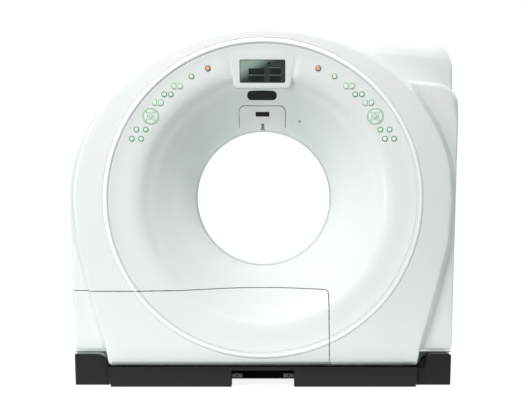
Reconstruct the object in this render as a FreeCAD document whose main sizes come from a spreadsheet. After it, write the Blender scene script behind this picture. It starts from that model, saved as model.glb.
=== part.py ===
import FreeCAD, Part
import math
import os
import Sketcher

# Tilting gantry of a medical scanner.  Millimetres, +Z up, +Y to the rear, the
# patient side faces -Y.  The origin lies on the floor under the bore centre.

V = FreeCAD.Vector
doc = FreeCAD.newDocument("scanner_gantry")
sheet = doc.addObject("Spreadsheet::Sheet", "Dims")

DIMS = [
    # overall covers
    ("iso_height", 965), ("face_half", 430), ("body_half", 387), ("skin", 5),
    ("oval_a", 1003), ("oval_b", 901), ("face_a", 985), ("face_b", 883),
    ("side_low", 983), ("body_drop", 790), ("face_drop", 864), ("face_back", 345),
    ("shoulder_w", 1022), ("shoulder_up", 603), ("shoulder_rad", 115),
    ("hood_front", 193), ("hood_up", 852), ("hood_rise", 32), ("hood_w", 1024), ("hood_in", 300), ("hood_rad", 95), ("hood_slope_y", 132), ("hood_slope_z", 102),
    ("seam", 4), ("seam_low", 481), ("seam_right", 342), ("seam_side", 300), ("seam_cone", 600),
    ("key_z1", 130), ("key_x1", 975), ("key_z2", 255), ("key_x2", 955), ("key_z3", 360), ("key_x3", 926),
    ("key_z4", 500), ("key_x4", 889), ("key_z5", 640), ("key_x5", 850), ("key_z6", 715), ("key_x6", 826),
    ("key_x7", 795), ("under_half", 350),
    # dish and bore
    ("bore_rad", 375), ("throat_half", 70), ("dish_scale", 0.9495), ("dish_wall", 4.5),
    ("bead_in", 794), ("bead_out", 830), ("bead_up", 7),
    ("d_773", 8), ("d_727", 18), ("d_682", 27), ("d_640", 45), ("d_620", 62), ("d_603", 80), ("d_568", 110),
    ("d_538", 147), ("d_513", 175), ("d_490", 207), ("d_460", 240), ("d_435", 273), ("d_412", 307), ("d_393", 340),
    ("ring_wall", 3.5),
    # base
    ("base_in", 817), ("base_out", 973), ("base_end", 420), ("block_top", 158), ("cradle_rad", 886),
    ("plate_up", 6), ("plinth_front", 470), ("plinth_w", 790), ("toe_top", 85), ("plinth_top", 102), ("sweep_rad", 972),
    ("notch_half", 160), ("notch_top", 84), ("beam_in", 866), ("lip_in", 838), ("skirt_at", 356), ("skirt_t", 6), ("tab_space", 265), ("tab_hole", 4.5),
    ("anchor_hole", 9), ("anchor_x", 1790), ("anchor_y", 700),
    # tilt parts
    ("up_in", 860), ("up_out", 920), ("up_half", 50), ("head_rad", 95), ("pin_rad", 45), ("run_gap", 0.05),
    ("arm_in", 770), ("arm_out", 834), ("arm_half", 85), ("sector_teeth", 100), ("pinion_teeth", 15),
    ("gear_module", 6), ("gear_w", 22), ("tmotor_rad", 70), ("tmotor_len", 48),
    # rotor and its bearing
    ("stat_in", 500), ("stat_out", 800), ("stat_y", 152), ("stat_w", 24),
    ("brg_in", 470), ("brg_race", 497), ("brg_cup", 522), ("brg_out", 545), ("brg_y", 112), ("brg_w", 38), ("ball_rad", 12), ("ball_pitch", 509.5),
    ("drum_in", 425), ("drum_out", 740), ("drum_y", 85), ("drum_w", 25), ("hub_in", 440), ("hub_out", 469.9), ("hub_end", 150),
    ("slip_in", 600), ("slip_out", 612), ("slip_w", 34), ("post_x", 620), ("post_z", 480), ("post_end", 416),
    ("focus_up", 600), ("det_in", 1050), ("det_out", 1115), ("det_half", 42),
    ("tube_rad", 88), ("tube_len", 250), ("tube_up", 618),
    ("belt_wall", 4), ("belt_w", 21), ("pulley_rad", 60), ("pulley_x", 596), ("pulley_z", 600),
    ("fan_x", 880), ("fan_up", 738), ("fan_rad", 78), ("fan_hub", 28), ("vent_rad", 82),
    # display and windows
    ("pod_half", 140), ("pod_low", 563), ("pod_high", 752), ("pod_y_low", 375), ("pod_y_high", 421),
    ("disp_w", 237), ("disp_h", 124), ("disp_t", 6), ("disp_mid", 656), ("gap", 0.4),
    ("pill_w", 156), ("pill_h", 62), ("cap_half", 126), ("cap_top", 497),
    # keys
    ("key_rad", 14.6), ("key_len", 9), ("key_proud", 2), ("stop_rad", 14.8), ("rock_w", 61), ("rock_h", 31),
    ("pad_rad", 41), ("pad_hole", 15.5), ("pad_key", 13),
]
for i, (word, value) in enumerate(DIMS, 1):
    sheet.set("A%d" % i, word)
    sheet.set("B%d" % i, str(value))
    sheet.setAlias("B%d" % i, word)
doc.recompute()


def num(word):
    return float(getattr(sheet, word))


def ex(e):
    # an expression on the sheet: "@word" stands for the cell of that name
    return str(e).replace("@", "Dims.")


def bind(obj, **props):
    for prop, e in props.items():
        if isinstance(e, (int, float)):
            setattr(obj, prop, e)
        else:
            obj.setExpression(prop, ex(e))


def place(obj, x=0, y=0, z=0, rot=None):
    if rot:
        obj.Placement = FreeCAD.Placement(V(0, 0, 0), FreeCAD.Rotation(*rot))
    for axis, e in (("x", x), ("y", y), ("z", z)):
        if isinstance(e, (int, float)):
            base = obj.Placement.Base
            setattr(base, axis, e)
            obj.Placement = FreeCAD.Placement(base, obj.Placement.Rotation)
        else:
            obj.setExpression("Placement.Base." + axis, ex(e))
    return obj


ALONG_X = (V(0, 1, 0), 90)
ALONG_Y = (V(1, 0, 0), -90)
serial = [0]


def new(kind, name=None):
    serial[0] += 1
    return doc.addObject(kind, name or "f%03d" % serial[0])


def box(lx, ly, lz, x, y, z):
    o = new("Part::Box")
    bind(o, Length=lx, Width=ly, Height=lz)
    return place(o, x, y, z)


def cyl(r, length, x, y, z, rot=None):
    o = new("Part::Cylinder")
    bind(o, Radius=r, Height=length)
    return place(o, x, y, z, rot)


def tube_y(r_in, r_out, y, length, z="@iso_height", x=0):
    return cut(cyl(r_out, length, x, y, z, ALONG_Y),
               cyl(r_in, "(%s) + 2" % length, x, "(%s) - 1" % y, z, ALONG_Y))


def cut(base, *tools):
    o = new("Part::Cut")
    o.Base = base
    o.Tool = tools[0] if len(tools) == 1 else fuse(*tools)
    return o


def fuse(*shapes):
    o = new("Part::MultiFuse")
    o.Shapes = list(shapes)
    return o


def common(a, b):
    o = new("Part::Common")
    o.Base, o.Tool = a, b
    return o


def outline(points, plane, z0=0, y0=0):
    """Closed sketch of straight edges through points; a coordinate is a number or an expression."""
    s = new("Sketcher::SketchObject")
    vals = [[float(e) if isinstance(e, (int, float)) else value_of(e) for e in p] for p in points]
    n = len(points)
    for i in range(n):
        a, b = vals[i], vals[(i + 1) % n]
        s.addGeometry(Part.LineSegment(V(a[0], a[1], 0), V(b[0], b[1], 0)), False)
    for i in range(n):
        s.addConstraint(Sketcher.Constraint("Coincident", i, 2, (i + 1) % n, 1))
    for i in range(n):
        for k, kind in ((0, "DistanceX"), (1, "DistanceY")):
            v, e = vals[i][k], points[i][k]
            if abs(v) < 1e-9:
                s.addConstraint(Sketcher.Constraint("PointOnObject", i, 1, -2 if k == 0 else -1))
                continue
            c = s.addConstraint(Sketcher.Constraint(kind, -1, 1, i, 1, v))
            if not isinstance(e, (int, float)):
                s.setExpression("Constraints[%d]" % c, ex(e))
    if plane == "XZ":          # extrudes towards +Y
        place(s, 0, y0, z0, ALONG_Y_SKETCH)
    elif plane == "YZ":        # extrudes towards +X
        place(s, y0, 0, z0, (V(1, 1, 1), 120))
    else:                      # XY
        place(s, 0, y0, z0)
    return s


ALONG_Y_SKETCH = (V(1, 0, 0), 90)


def value_of(e):
    # worth of an expression made of sheet words, numbers, + - * / and brackets
    probe.setExpression("Length", "1 mm * (" + ex(e) + ") + 50000 mm")
    doc.recompute([probe])
    return probe.Length.Value - 50000


probe = doc.addObject("Part::Box", "probe")


def extrude(profile, direction, length):
    o = new("Part::Extrusion")
    o.Base = profile
    o.DirMode = "Custom"
    o.Dir = direction
    o.Solid = True
    bind(o, LengthFwd=length)
    return o


def oval_prism(a, b, y, length):
    o = new("Part::Ellipse")
    bind(o, MajorRadius=a, MinorRadius=b)
    place(o, 0, y, "@iso_height", (V(1, 0, 0), 90))
    return extrude(o, V(0, 1, 0), length)


def prism_y(points, y, length, z0="@iso_height"):
    return extrude(outline(points, "XZ", z0, y), V(0, 1, 0), length)


def prism_x(points, x, length, z0="@iso_height"):
    return extrude(outline(points, "YZ", z0, x), V(1, 0, 0), length)


def turned(points):
    """Ring turned about the bore axis from a section of (radius, y) points."""
    s = outline(points, "XY", "@iso_height")
    o = new("Part::Revolution")
    o.Source = s
    o.Axis = V(0, 1, 0)
    o.setExpression("Base.z", ex("@iso_height"))
    o.Angle = 360
    o.Solid = True
    return o


def mirror_x(obj):
    o = new("Part::Mirroring")
    o.Source = obj
    o.Normal = V(1, 0, 0)
    return o


def mirror_y(obj):
    o = new("Part::Mirroring")
    o.Source = obj
    o.Normal = V(0, 1, 0)
    return o


NODES = []


def keep(obj, label):
    obj.Label = label
    NODES.append(obj)
    return obj

# ---------------------------------------------------------------- moulded covers
TABLE = [(773, "d_773"), (727, "d_727"), (682, "d_682"), (640, "d_640"), (620, "d_620"), (603, "d_603"),
         (568, "d_568"), (538, "d_538"), (513, "d_513"), (490, "d_490"), (460, "d_460"), (435, "d_435"),
         (412, "d_412"), (393, "d_393")]


def dish(shift):
    pts = [(0, "-(@face_half + 20)"), ("@bead_in + %s" % shift, "-(@face_half + 20)"),
           ("@bead_in + %s" % shift, "-@face_half + %s" % shift)]
    pts += [("%d + %s" % (r, shift), "-@face_half + @%s * @dish_scale + %s" % (w, shift)) for r, w in TABLE]
    pts += [("@bore_rad + 5 + %s" % shift, "-@throat_half - 13 + %s" % shift),
            ("@bore_rad + %s" % shift, "-@throat_half"), (0, "-@throat_half")]
    return turned(pts)


def keyhole(t):
    right = [("@face_a - %s" % t, 0)]
    right += [("@key_x%d - %s" % (i, t), "-@key_z%d" % i) for i in range(1, 7)]
    right += [("@key_x7 - %s" % t, "-@face_drop + %s" % t)]
    left = [("-(%s)" % x, z) for x, z in reversed(right)]
    return right + left


def upper(obj):
    return common(obj, box(2400, 1200, 1200, -1200, -600, "@iso_height"))


def corner(w, up, rad, t):
    pts = []
    for c, s in ((1, 0), (0.9239, 0.3827), (0.7071, 0.7071), (0.3827, 0.9239), (0, 1)):
        pts.append(("%s - %s - %s * %s" % (w, t, rad, round(1 - c, 4)), "%s - %s - %s * %s" % (up, t, rad, round(1 - s, 4))))
    return pts


def pod(t):
    side = prism_x([("-@pod_y_low + %s" % t, "@pod_low + %s" % t), ("-@pod_y_high + %s" % t, "@pod_high - %s" % t),
                    ("-@pod_y_high + 30", "@pod_high - %s" % t), ("-@pod_y_low + 60", "@pod_low + %s" % t)],
                   -200, 400)
    front = prism_y([("-@pod_half + %s" % t, "@pod_low - 5"), ("@pod_half - %s" % t, "@pod_low - 5"),
                     ("@pod_half + 38 - %s" % t, "@pod_high + 5"), ("-@pod_half - 38 + %s" % t, "@pod_high + 5")],
                    -450, 200)
    return common(side, front)


def bead():
    return turned([("@bead_in + 5", "-@face_half + 1"), ("@bead_in + 8", "-@face_half - @bead_up * 0.6"),
                   ("@bead_in + 12", "-@face_half - @bead_up * 0.93"), ("@bead_in + 18", "-@face_half - @bead_up"),
                   ("@bead_out - 12", "-@face_half - @bead_up * 0.93"), ("@bead_out - 8", "-@face_half - @bead_up * 0.6"),
                   ("@bead_out - 5", "-@face_half + 1")])


def gantry_form(t):
    """Closed form of the covers, drawn in by t on every side."""
    face_len = "@face_half - @face_back - 2 * %s" % t
    parts = []
    parts.append(upper(oval_prism("@oval_a - %s" % t, "@oval_b - %s" % t, "-@body_half + %s" % t, "2 * @body_half - 2 * %s" % t)))
    parts.append(prism_y([("-@oval_a + %s" % t, 0), ("-@side_low + %s" % t, "-@body_drop + %s" % t),
                          ("@side_low - %s" % t, "-@body_drop + %s" % t), ("@oval_a - %s" % t, 0)],
                         "-@body_half + %s" % t, "2 * @body_half - 2 * %s" % t))
    parts.append(prism_y([("@hood_in", -10), ("@oval_a - %s" % t, -10)] + corner("@shoulder_w", "@shoulder_up", "@shoulder_rad", t)
                         + [(600, "@shoulder_up + 16 - %s" % t), ("@hood_in", "@shoulder_up + 16 - %s" % t)],
                         "-@body_half + %s" % t, "2 * @body_half - 2 * %s" % t))
    for start in ("-@face_half + %s" % t, "@face_back + %s" % t):
        parts.append(upper(oval_prism("@face_a - %s" % t, "@face_b - %s" % t, start, face_len)))
        parts.append(prism_y(keyhole(t), start, face_len))
    return parts


outer_form = cut(fuse(*(gantry_form(0) + [bead()])), fuse(dish(0), mirror_y(dish(0)), cyl("@bore_rad", "2 * @throat_half", 0, "-@throat_half", "@iso_height", ALONG_Y)))
inner_form = cut(fuse(*gantry_form("@skin")), fuse(dish("@dish_wall"), mirror_y(dish("@dish_wall"))))
skin = cut(fuse(outer_form, pod("0")), fuse(inner_form, pod("@skin")),
           box(2400, "2 * @under_half", 26, -1200, "-@under_half", "@iso_height - @body_drop - 20"))

# set-back skirts under the lower edges, close above the base blocks
skirt_l = prism_y([(-975, -806), (-809, -806), (-809, -775), (-975, -775)], "-@skirt_at", "@skirt_t")
skirt_r = prism_y([(803, -859), (822, -859), (825.5, -846), (830, -834), (836, -827), (846, -822), (856, -817.5), (862, -812), (864, -806),
                   (975, -806), (975, -775), (803, -775)], "-@skirt_at", "@skirt_t")
rear_skirt_l = prism_y([(-975, -806), (-809, -806), (-809, -775), (-975, -775)], "@skirt_at - @skirt_t", "@skirt_t")
rear_skirt_r = prism_y([(975, -806), (809, -806), (809, -775), (975, -775)], "@skirt_at - @skirt_t", "@skirt_t")
skin = fuse(skin, skirt_l, skirt_r, rear_skirt_l, rear_skirt_r)

front_zone = fuse(box(2400, 200, 2200, -1200, "-@seam_side - 200", -50),
                  cyl("@seam_cone", "@seam_side - 60", 0, "-@seam_side", "@iso_height", ALONG_Y))
front_skin = common(skin, front_zone)
low_zone = box("1200 + @seam_right - @seam / 2", 400, "@iso_height - @seam_low - @seam / 2 + 50", -1200, -460, -50)
low_keep = box("1200 + @seam_right + @seam / 2", 400, "@iso_height - @seam_low + @seam / 2 + 50", -1200, -460, -50)

# ---------------------------------------------------------------- keys on the dish
KEYS = [("stop", 285.5, 670.3), ("upper", 370, 629), ("rocker_upper", 445, 579.5), ("mid_outer", 511, 536), ("mid_inner", 477, 536),
        ("rocker_mid", 544, 493.5), ("pad", 581, 422.7), ("pad_centre", 581, 422.7), ("low_outer", 654, 354), ("low_inner", 607, 354),
        ("bottom_outer", 678, 306.5), ("bottom_inner", 631, 306.5)]


def dish_depth(r):
    table = [(num("bead_in"), 0.0)] + [(float(a), num(w)) for a, w in TABLE]
    for (r1, d1), (r2, d2) in zip(table, table[1:]):
        if r2 <= r <= r1:
            slope = (d2 - d1) * num("dish_scale") / (r1 - r2)
            return num("dish_scale") * d1 + slope * (r1 - r), slope
    return 0.0, 0.0


def seat(x, z, back=0.0):
    r = math.hypot(x, z)
    depth, slope = dish_depth(r)
    n = V(-slope * x / r, -1, -slope * z / r)
    n.normalize()
    side = V(1, 0, 0) - n * n.x
    side.normalize()
    at = V(x, -num("face_half") + depth, num("iso_height") + z) - n * back
    return FreeCAD.Placement(at, FreeCAD.Rotation(side, n.cross(side), n, "ZXY")), n


def key_form(kind, grow, length):
    if kind == "stop":
        return cyl("@stop_rad + %s" % grow, length, 0, 0, 0)
    if kind.startswith("rocker"):
        half = "(@rock_w - @rock_h) / 2"
        return fuse(box("@rock_w - @rock_h", "@rock_h + 2 * %s" % grow, length, "-(%s)" % half, "-@rock_h / 2 - %s" % grow, 0),
                    cyl("@rock_h / 2 + %s" % grow, length, half, 0, 0), cyl("@rock_h / 2 + %s" % grow, length, "-(%s)" % half, 0, 0))
    if kind == "pad":
        if grow == 0:
            return cut(cyl("@pad_rad", length, 0, 0, 0), cyl("@pad_hole", 60, 0, 0, -20))
        return cyl("@pad_rad + %s" % grow, length, 0, 0, 0)
    if kind == "pad_centre":
        return cyl("@pad_key", length, 0, 0, 0)
    return cyl("@key_rad + %s" % grow, length, 0, 0, 0)


key_holes = []
for side_name, sign in (("left", -1), ("right", 1)):
    for kind, kx, kz in KEYS:
        spot, n = seat(sign * kx, kz, num("key_len") - num("key_proud"))
        key = key_form(kind, 0, "@key_len")
        if key.TypeId == "Part::MultiFuse":
            key.Refine = True
        key.Placement = spot
        keep(key, "%s_%s_key" % (side_name, kind))
        if kind != "pad_centre":
            hole = key_form(kind, 0.9, 60)
            hole.Placement = seat(sign * kx, kz, 30)[0]
            key_holes.append(hole)

# ---------------------------------------------------------------- display, windows and the cap above the bore
lean = math.degrees(math.atan2(num("pod_y_high") - num("pod_y_low"), num("pod_high") - num("pod_low")))


def pod_y(z):
    part = (z - num("pod_low")) / (num("pod_high") - num("pod_low"))
    return -num("pod_y_low") - part * (num("pod_y_high") - num("pod_y_low"))


def leaning(w, height, depth, y, z, angle, round_off=0):
    """Plate or stadium facing -Y, leaned about X so that its face follows the surface."""
    if round_off:
        o = fuse(box("%s - %s" % (w, height), height, depth, "-(%s - %s) / 2" % (w, height), "-(%s) / 2" % height, 0),
                 cyl("(%s) / 2" % height, depth, "-(%s - %s) / 2" % (w, height), 0, 0),
                 cyl("(%s) / 2" % height, depth, "(%s - %s) / 2" % (w, height), 0, 0))
        o.Refine = True
    else:
        b = box(w, height, depth, "-(%s) / 2" % w, "-(%s) / 2" % height, 0)
        o = fuse(b, box(10, 10, depth, -5, -5, 0))
        o.Refine = True
    n = V(0, -math.cos(math.radians(angle)), -math.sin(math.radians(angle)))
    o.Placement = FreeCAD.Placement(V(0, y, z), FreeCAD.Rotation(V(1, 0, 0), n.cross(V(1, 0, 0)), n, "ZXY"))
    return o


iso = num("iso_height")
disp_z = num("disp_mid")
n_disp = V(0, -math.cos(math.radians(lean)), -math.sin(math.radians(lean)))
screen_at = V(0, pod_y(disp_z), iso + disp_z) - n_disp * num("disp_t")
display_screen = keep(leaning("@disp_w", "@disp_h", "@disp_t", screen_at.y, screen_at.z, lean), "display_screen")
display_hole = leaning("@disp_w + 2 * @gap", "@disp_h + 2 * @gap", 40, 0, 0, lean)
display_hole.Placement = FreeCAD.Placement(screen_at - n_disp * 15, display_hole.Placement.Rotation)

cone = math.degrees(math.atan2((num("d_513") - num("d_568")) * num("dish_scale"), 55))
pill_z = 541.5
pill_y = -num("face_half") + (num("d_568") + (568 - pill_z) / 30.0 * (num("d_538") - num("d_568"))) * num("dish_scale")
n_pill = V(0, -math.cos(math.radians(cone)), -math.sin(math.radians(cone)))
pill_at = V(0, pill_y, iso + pill_z) - n_pill * 4.5
sensor_window = keep(leaning("@pill_w", "@pill_h", 6, pill_at.y, pill_at.z, cone, 1), "sensor_window")
pill_hole = leaning("@pill_w + 2 * @gap", "@pill_h + 2 * @gap", 40, 0, 0, cone, 1)
pill_hole.Placement = FreeCAD.Placement(pill_at - n_pill * 15, pill_hole.Placement.Rotation)

cap_out, cap_in = [], []
for r, w in ((490, "d_490"), (460, "d_460"), (435, "d_435"), (412, "d_412"), (393, "d_393")):
    for pts, off in ((cap_out, 3.2), (cap_in, 0.4)):
        pts.append(("%d - %s" % (r, off), "-@face_half + @%s * @dish_scale - %s" % (w, off)))
cap_out.append(("@bore_rad + 2.6", "-@throat_half - 15"))
cap_in.append(("@bore_rad + 4.6", "-@throat_half - 13.6"))
cap_ring = turned(cap_out + cap_in[::-1])
cap_block = cut(common(cap_ring, box("2 * @cap_half", 400, 300, "-@cap_half", -400, "@iso_height + 300")),
                box(70, 200, 19, -35, -300, "@iso_height + 444"))
keep(cap_block, "bore_top_cap")

front_cut = cut(front_skin, *(key_holes + [display_hole, pill_hole]))
keep(cut(front_cut, low_keep), "front_cover")
keep(common(front_skin, low_zone), "lower_front_panel")
core = cyl("@seam_cone + @seam", "2 * @seam_side + 20", 0, "-@seam_side - 10", "@iso_height", ALONG_Y)
side_skin = cut(skin, core)
side_len = "2 * @seam_side - 2 * @seam"
keep(common(side_skin, box("1200 - @seam / 2", side_len, 2200, -1200, "-@seam_side + @seam", -50)), "left_side_cover")
keep(common(side_skin, box("1200 - @seam / 2", side_len, 2200, "@seam / 2", "-@seam_side + @seam", -50)), "right_side_cover")
rear_zone = fuse(box(2400, 200, 2200, -1200, "@seam_side", -50),
                 cyl("@seam_cone", "@seam_side - 60", 0, 60, "@iso_height", ALONG_Y))
keep(common(skin, rear_zone), "rear_cover")


def hood(t):
    top = [(820, "@hood_up + 11 - %s" % t), (600, "@hood_up + 24 - %s" % t), (440, "@hood_up + @hood_rise - %s" % t),
           ("@hood_in", "@hood_up + @hood_rise - %s" % t)]
    plain = prism_y([("@hood_in", 480), ("@hood_w - %s" % t, 480)] + corner("@hood_w", "@hood_up", "@hood_rad", t) + top,
                    "-@hood_front + %s" % t, "@hood_front + @body_half - 2 * %s" % t)
    # the top leans back from the front face in a few flats
    slope = [("-@hood_front + %s" % t, 470)]
    for a, b in ((0.0, 1.0), (0.12, 0.66), (0.32, 0.36), (0.6, 0.12), (1.0, 0.0)):
        slope.append(("-@hood_front + @hood_slope_y * %s + %s" % (a, t), "@hood_up + @hood_rise - @hood_slope_z * %s - %s" % (b, t)))
    slope += [("@body_half + 5", "@hood_up + @hood_rise - %s" % t), ("@body_half + 5", 470)]
    return common(plain, prism_x(slope, "@hood_in - 20", "@hood_w - @hood_in + 60"))


under_hood = fuse(upper(oval_prism("@oval_a + 1", "@oval_b + 1", "-@body_half - 5", "2 * @body_half + 10")),
                  prism_y([("@hood_in", -10), ("@shoulder_w + 5", -10)] + corner("@shoulder_w + 5", "@shoulder_up + 1", "@shoulder_rad", 0)
                          + [(600, "@shoulder_up + 17"), ("@hood_in", "@shoulder_up + 17")], "-@body_half - 5", "2 * @body_half + 10"))
vent = cyl("@vent_rad", 40, "@fan_x", "@body_half - 20", "@iso_height + @fan_up", ALONG_Y)
keep(cut(hood("0"), hood("@skin"), under_hood, vent), "upper_rear_hood")

keep(tube_y("@bore_rad", "@bore_rad + @ring_wall", "-@throat_half + 0.5", "2 * @throat_half - 1"), "scan_window_ring")

# ---------------------------------------------------------------- fan in the hood
ring = tube_y("@vent_rad - 8", "@vent_rad - 0.5", "@body_half - 5", 5, "@iso_height + @fan_up", "@fan_x")
inner_rings = [tube_y("@vent_rad - %d" % a, "@vent_rad - %d" % (a - 3), "@body_half - 4", 3, "@iso_height + @fan_up", "@fan_x")
               for a in (24, 40, 56)]
bars = [box("2 * @vent_rad - 12", 3, 4, "@fan_x - @vent_rad + 6", "@body_half - 4", "@iso_height + @fan_up - 2"),
        box(4, 3, "2 * @vent_rad - 12", "@fan_x - 2", "@body_half - 4", "@iso_height + @fan_up - @vent_rad + 6")]
stator = [cyl("@fan_hub - 4", 8, "@fan_x", "@body_half - 12", "@iso_height + @fan_up", ALONG_Y),
          cyl(4, 30, "@fan_x", "@body_half - 40", "@iso_height + @fan_up", ALONG_Y)]
keep(fuse(ring, *(inner_rings + bars + stator)), "fan_guard")
hub = cut(cyl("@fan_hub", 24, "@fan_x", "@body_half - 37", "@iso_height + @fan_up", ALONG_Y),
          cyl(4.05, 40, "@fan_x", "@body_half - 45", "@iso_height + @fan_up", ALONG_Y))
blades = []
for k in range(7):
    b = box("@fan_rad - @fan_hub + 4", 3, 30, "@fan_hub - 4", -1.5, -15)
    turn = FreeCAD.Rotation(V(0, 1, 0), k * 360.0 / 7)
    twist = FreeCAD.Rotation(V(1, 0, 0), 38)
    c = fuse(b, box(8, 3, 20, "@fan_hub - 4", -1.5, -10))
    c.Placement = FreeCAD.Placement(V(num("fan_x"), num("body_half") - 25, iso + num("fan_up")), turn.multiply(twist))
    blades.append(c)
fan_rim = cyl("@fan_rad", 24, "@fan_x", "@body_half - 37", "@iso_height + @fan_up", ALONG_Y)
keep(fuse(hub, cut(common(fuse(*blades), fan_rim), cyl("@fan_hub - 2", 60, "@fan_x", "@body_half - 60", "@iso_height + @fan_up", ALONG_Y))), "cooling_fan")

# ---------------------------------------------------------------- floor base
sweep = cyl("@sweep_rad", 2400, -1200, 0, "@iso_height", ALONG_X)
cradle = cyl("@cradle_rad", 2400, -1200, 0, "@iso_height", ALONG_X)
beam_l = box("@base_out - @base_in", "2 * @base_end", "@block_top", "-@base_out", "-@base_end", 0)
beam_r = box("@base_out - @beam_in", "2 * @base_end", "@block_top", "@beam_in", "-@base_end", 0)
lip_r = cut(box("@beam_in - @lip_in + 1", "2 * @base_end", "@block_top - 8", "@lip_in", "-@base_end", 0), cyl("@cradle_rad + 20", 2400, -1200, 0, "@iso_height", ALONG_X))
lip_l = cut(box("@base_in - 800", "2 * @base_end", 118, "-@base_in - 1", "-@base_end", 0), cyl("@cradle_rad + 59", 2400, -1200, 0, "@iso_height", ALONG_X))
plate = box("2 * @base_in + 20", "2 * @base_end - 320", "@plate_up", "-@base_in - 10", "-@base_end + 160", 0)
plate_r = box(60, "2 * @base_end - 320", "@plate_up", "@base_in - 5", "-@base_end + 160", 0)
holes = []
for ax in ("-@anchor_x / 2", "@anchor_x / 2"):
    for ay in ("-@anchor_y / 2", "@anchor_y / 2"):
        holes.append(cyl("@anchor_hole", 300, ax, ay, -20))
        holes.append(cyl(24, 300, ax, ay, 40))
toes = []
for x0, wide in (("-@base_in - 1", "@base_in - @plinth_w - 1"), ("@plinth_w + 2", "@lip_in - @plinth_w + 1")):
    for y0 in ("-@base_end", "@base_end - 60"):
        toes.append(cut(box(wide, 60, "@toe_top", x0, y0, 0), sweep))
keep(cut(fuse(cut(fuse(beam_l, beam_r, plate, plate_r), cradle), lip_l, lip_r, *toes), fuse(*holes)), "base_frame")
for label, sign in (("front_plinth", -1), ("rear_plinth", 1)):
    y0 = "-@plinth_front" if sign < 0 else "@base_end - 27"
    body = box("2 * @plinth_w", "@plinth_front - @base_end + 27", "@plinth_top", "-@plinth_w", y0, 0)
    shaped = cut(body, sweep)
    if sign < 0:
        shaped = cut(shaped, box("2 * @notch_half", 60, "@notch_top + 10", "-@notch_half", "-@plinth_front - 10", -10),
                     box("2 * @notch_half", 200, 45, "-@notch_half", "-@plinth_front - 10", -5))
    keep(shaped, label)
tabs = []
for sx in (-1, 1):
    tab = cut(box(55, 30, 20, "%d * @tab_space / 2 - 27.5" % sx, "-@plinth_front + 12", 46),
              cyl("@tab_hole", 80, "%d * @tab_space / 2" % sx, "-@plinth_front - 10", 56, ALONG_Y))
    tabs.append(tab)
keep(fuse(*tabs), "docking_brackets")

# ---------------------------------------------------------------- uprights, trunnions and tilt drive
for label, sign in (("left_upright", -1), ("right_upright", 1)):
    x0 = "-@up_out" if sign < 0 else "@up_in"
    leg = prism_x([("-@up_half", "-@cradle_rad"), ("@up_half", "-@cradle_rad"), ("@head_rad - 14", -20), ("-@head_rad + 14", -20)],
                  x0, "@up_out - @up_in")
    head = cyl("@head_rad", "@up_out - @up_in", x0, 0, "@iso_height", ALONG_X)
    bore = cyl("@pin_rad + @run_gap", 200, "(%s) - 60" % x0, 0, "@iso_height", ALONG_X)
    up = cut(common(fuse(leg, head), cradle), bore)
    if sign > 0:
        up = cut(up, cyl("22.05", 200, "@up_in - 60", 0, "@iso_height - @gear_module * (@sector_teeth + @pinion_teeth) / 2", ALONG_X))
    keep(up, label)
keep(fuse(cyl("@pin_rad", "@up_out + 14 - @arm_out", "-@up_out - 14", 0, "@iso_height", ALONG_X),
          cyl("@pin_rad", "@up_out + 14 - @arm_out", "@arm_out", 0, "@iso_height", ALONG_X)), "trunnion_pins")


def gear(teeth, y_z, x0, width, bore_e, phase):
    """Involute-like spur gear about an axis along X, as a polygon of tooth flanks."""
    mod = num("gear_module")
    rp, ra, rf = mod * teeth / 2, mod * teeth / 2 + mod * 0.92, mod * teeth / 2 - mod * 1.2
    rb = rp * math.cos(math.radians(20))

    def inv(r):
        if r <= rb:
            return 0.0
        a = math.acos(rb / r)
        return math.tan(a) - a

    half = math.pi / (2 * teeth) - 0.11 / rp
    pts = []
    for k in range(teeth):
        mid = 2 * math.pi * k / teeth + phase
        for s in (-1, 1):
            rs = [rf, max(rb, rf + 0.5), (rb + rp) / 2 if rb > rf else rf + 2, rp, (rp + ra) / 2, ra]
            rs = sorted(r for r in rs if r >= rf)
            seq = rs if s < 0 else rs[::-1]
            for r in seq:
                th = half + inv(rp) - inv(r)
                pts.append(V(0, r * math.sin(mid + s * th), r * math.cos(mid + s * th)))
    wire = Part.makePolygon(pts + [pts[0]])
    solid = Part.Face(wire).extrude(V(width, 0, 0))
    solid.translate(V(x0, y_z[0], y_z[1]))
    return solid


n1, n2, mod = num("sector_teeth"), num("pinion_teeth"), num("gear_module")
down = iso - mod * (n1 + n2) / 2
gx = num("up_in") - 4 - num("gear_w")
full = gear(int(n1), (0, iso), gx, num("gear_w"), 0, math.pi)
wedge = Part.makePolygon([V(gx - 1, 0, iso), V(gx - 1, -400, iso - 560), V(gx - 1, 400, iso - 560), V(gx - 1, 0, iso)])
wedge = Part.Face(wedge).extrude(V(num("gear_w") + 2, 0, 0))
sector = full.common(wedge).cut(Part.makeCylinder(215, 100, V(gx - 20, 0, iso), V(1, 0, 0)))
bar = Part.makeBox(num("gear_w"), 110, 215, V(gx, -55, iso - 225))
sector = sector.fuse(bar).cut(Part.makeCylinder(num("pin_rad") + 1, 200, V(gx - 50, 0, iso), V(1, 0, 0)))
sector_node = doc.addObject("Part::Feature", "sector_shape")
sector_node.Shape = sector.removeSplitter()
keep(sector_node, "tilt_sector_gear")
pinion = gear(int(n2), (0, down), gx, num("gear_w"), 0, math.pi / n2)
pinion = pinion.fuse(Part.makeCylinder(22, num("up_out") - gx + 8, V(gx, 0, down), V(1, 0, 0)))
pinion_node = doc.addObject("Part::Feature", "pinion_shape")
pinion_node.Shape = pinion.removeSplitter()
keep(pinion_node, "tilt_pinion")
mot = cut(fuse(cyl("@tmotor_rad", "@tmotor_len", "@up_out", 0, down, ALONG_X), box("@tmotor_len - 14", 60, 70, "@up_out", -30, down + 40)),
          cyl(24, 10, "@up_out - 1", 0, down, ALONG_X))
keep(mot, "tilt_motor")

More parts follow.
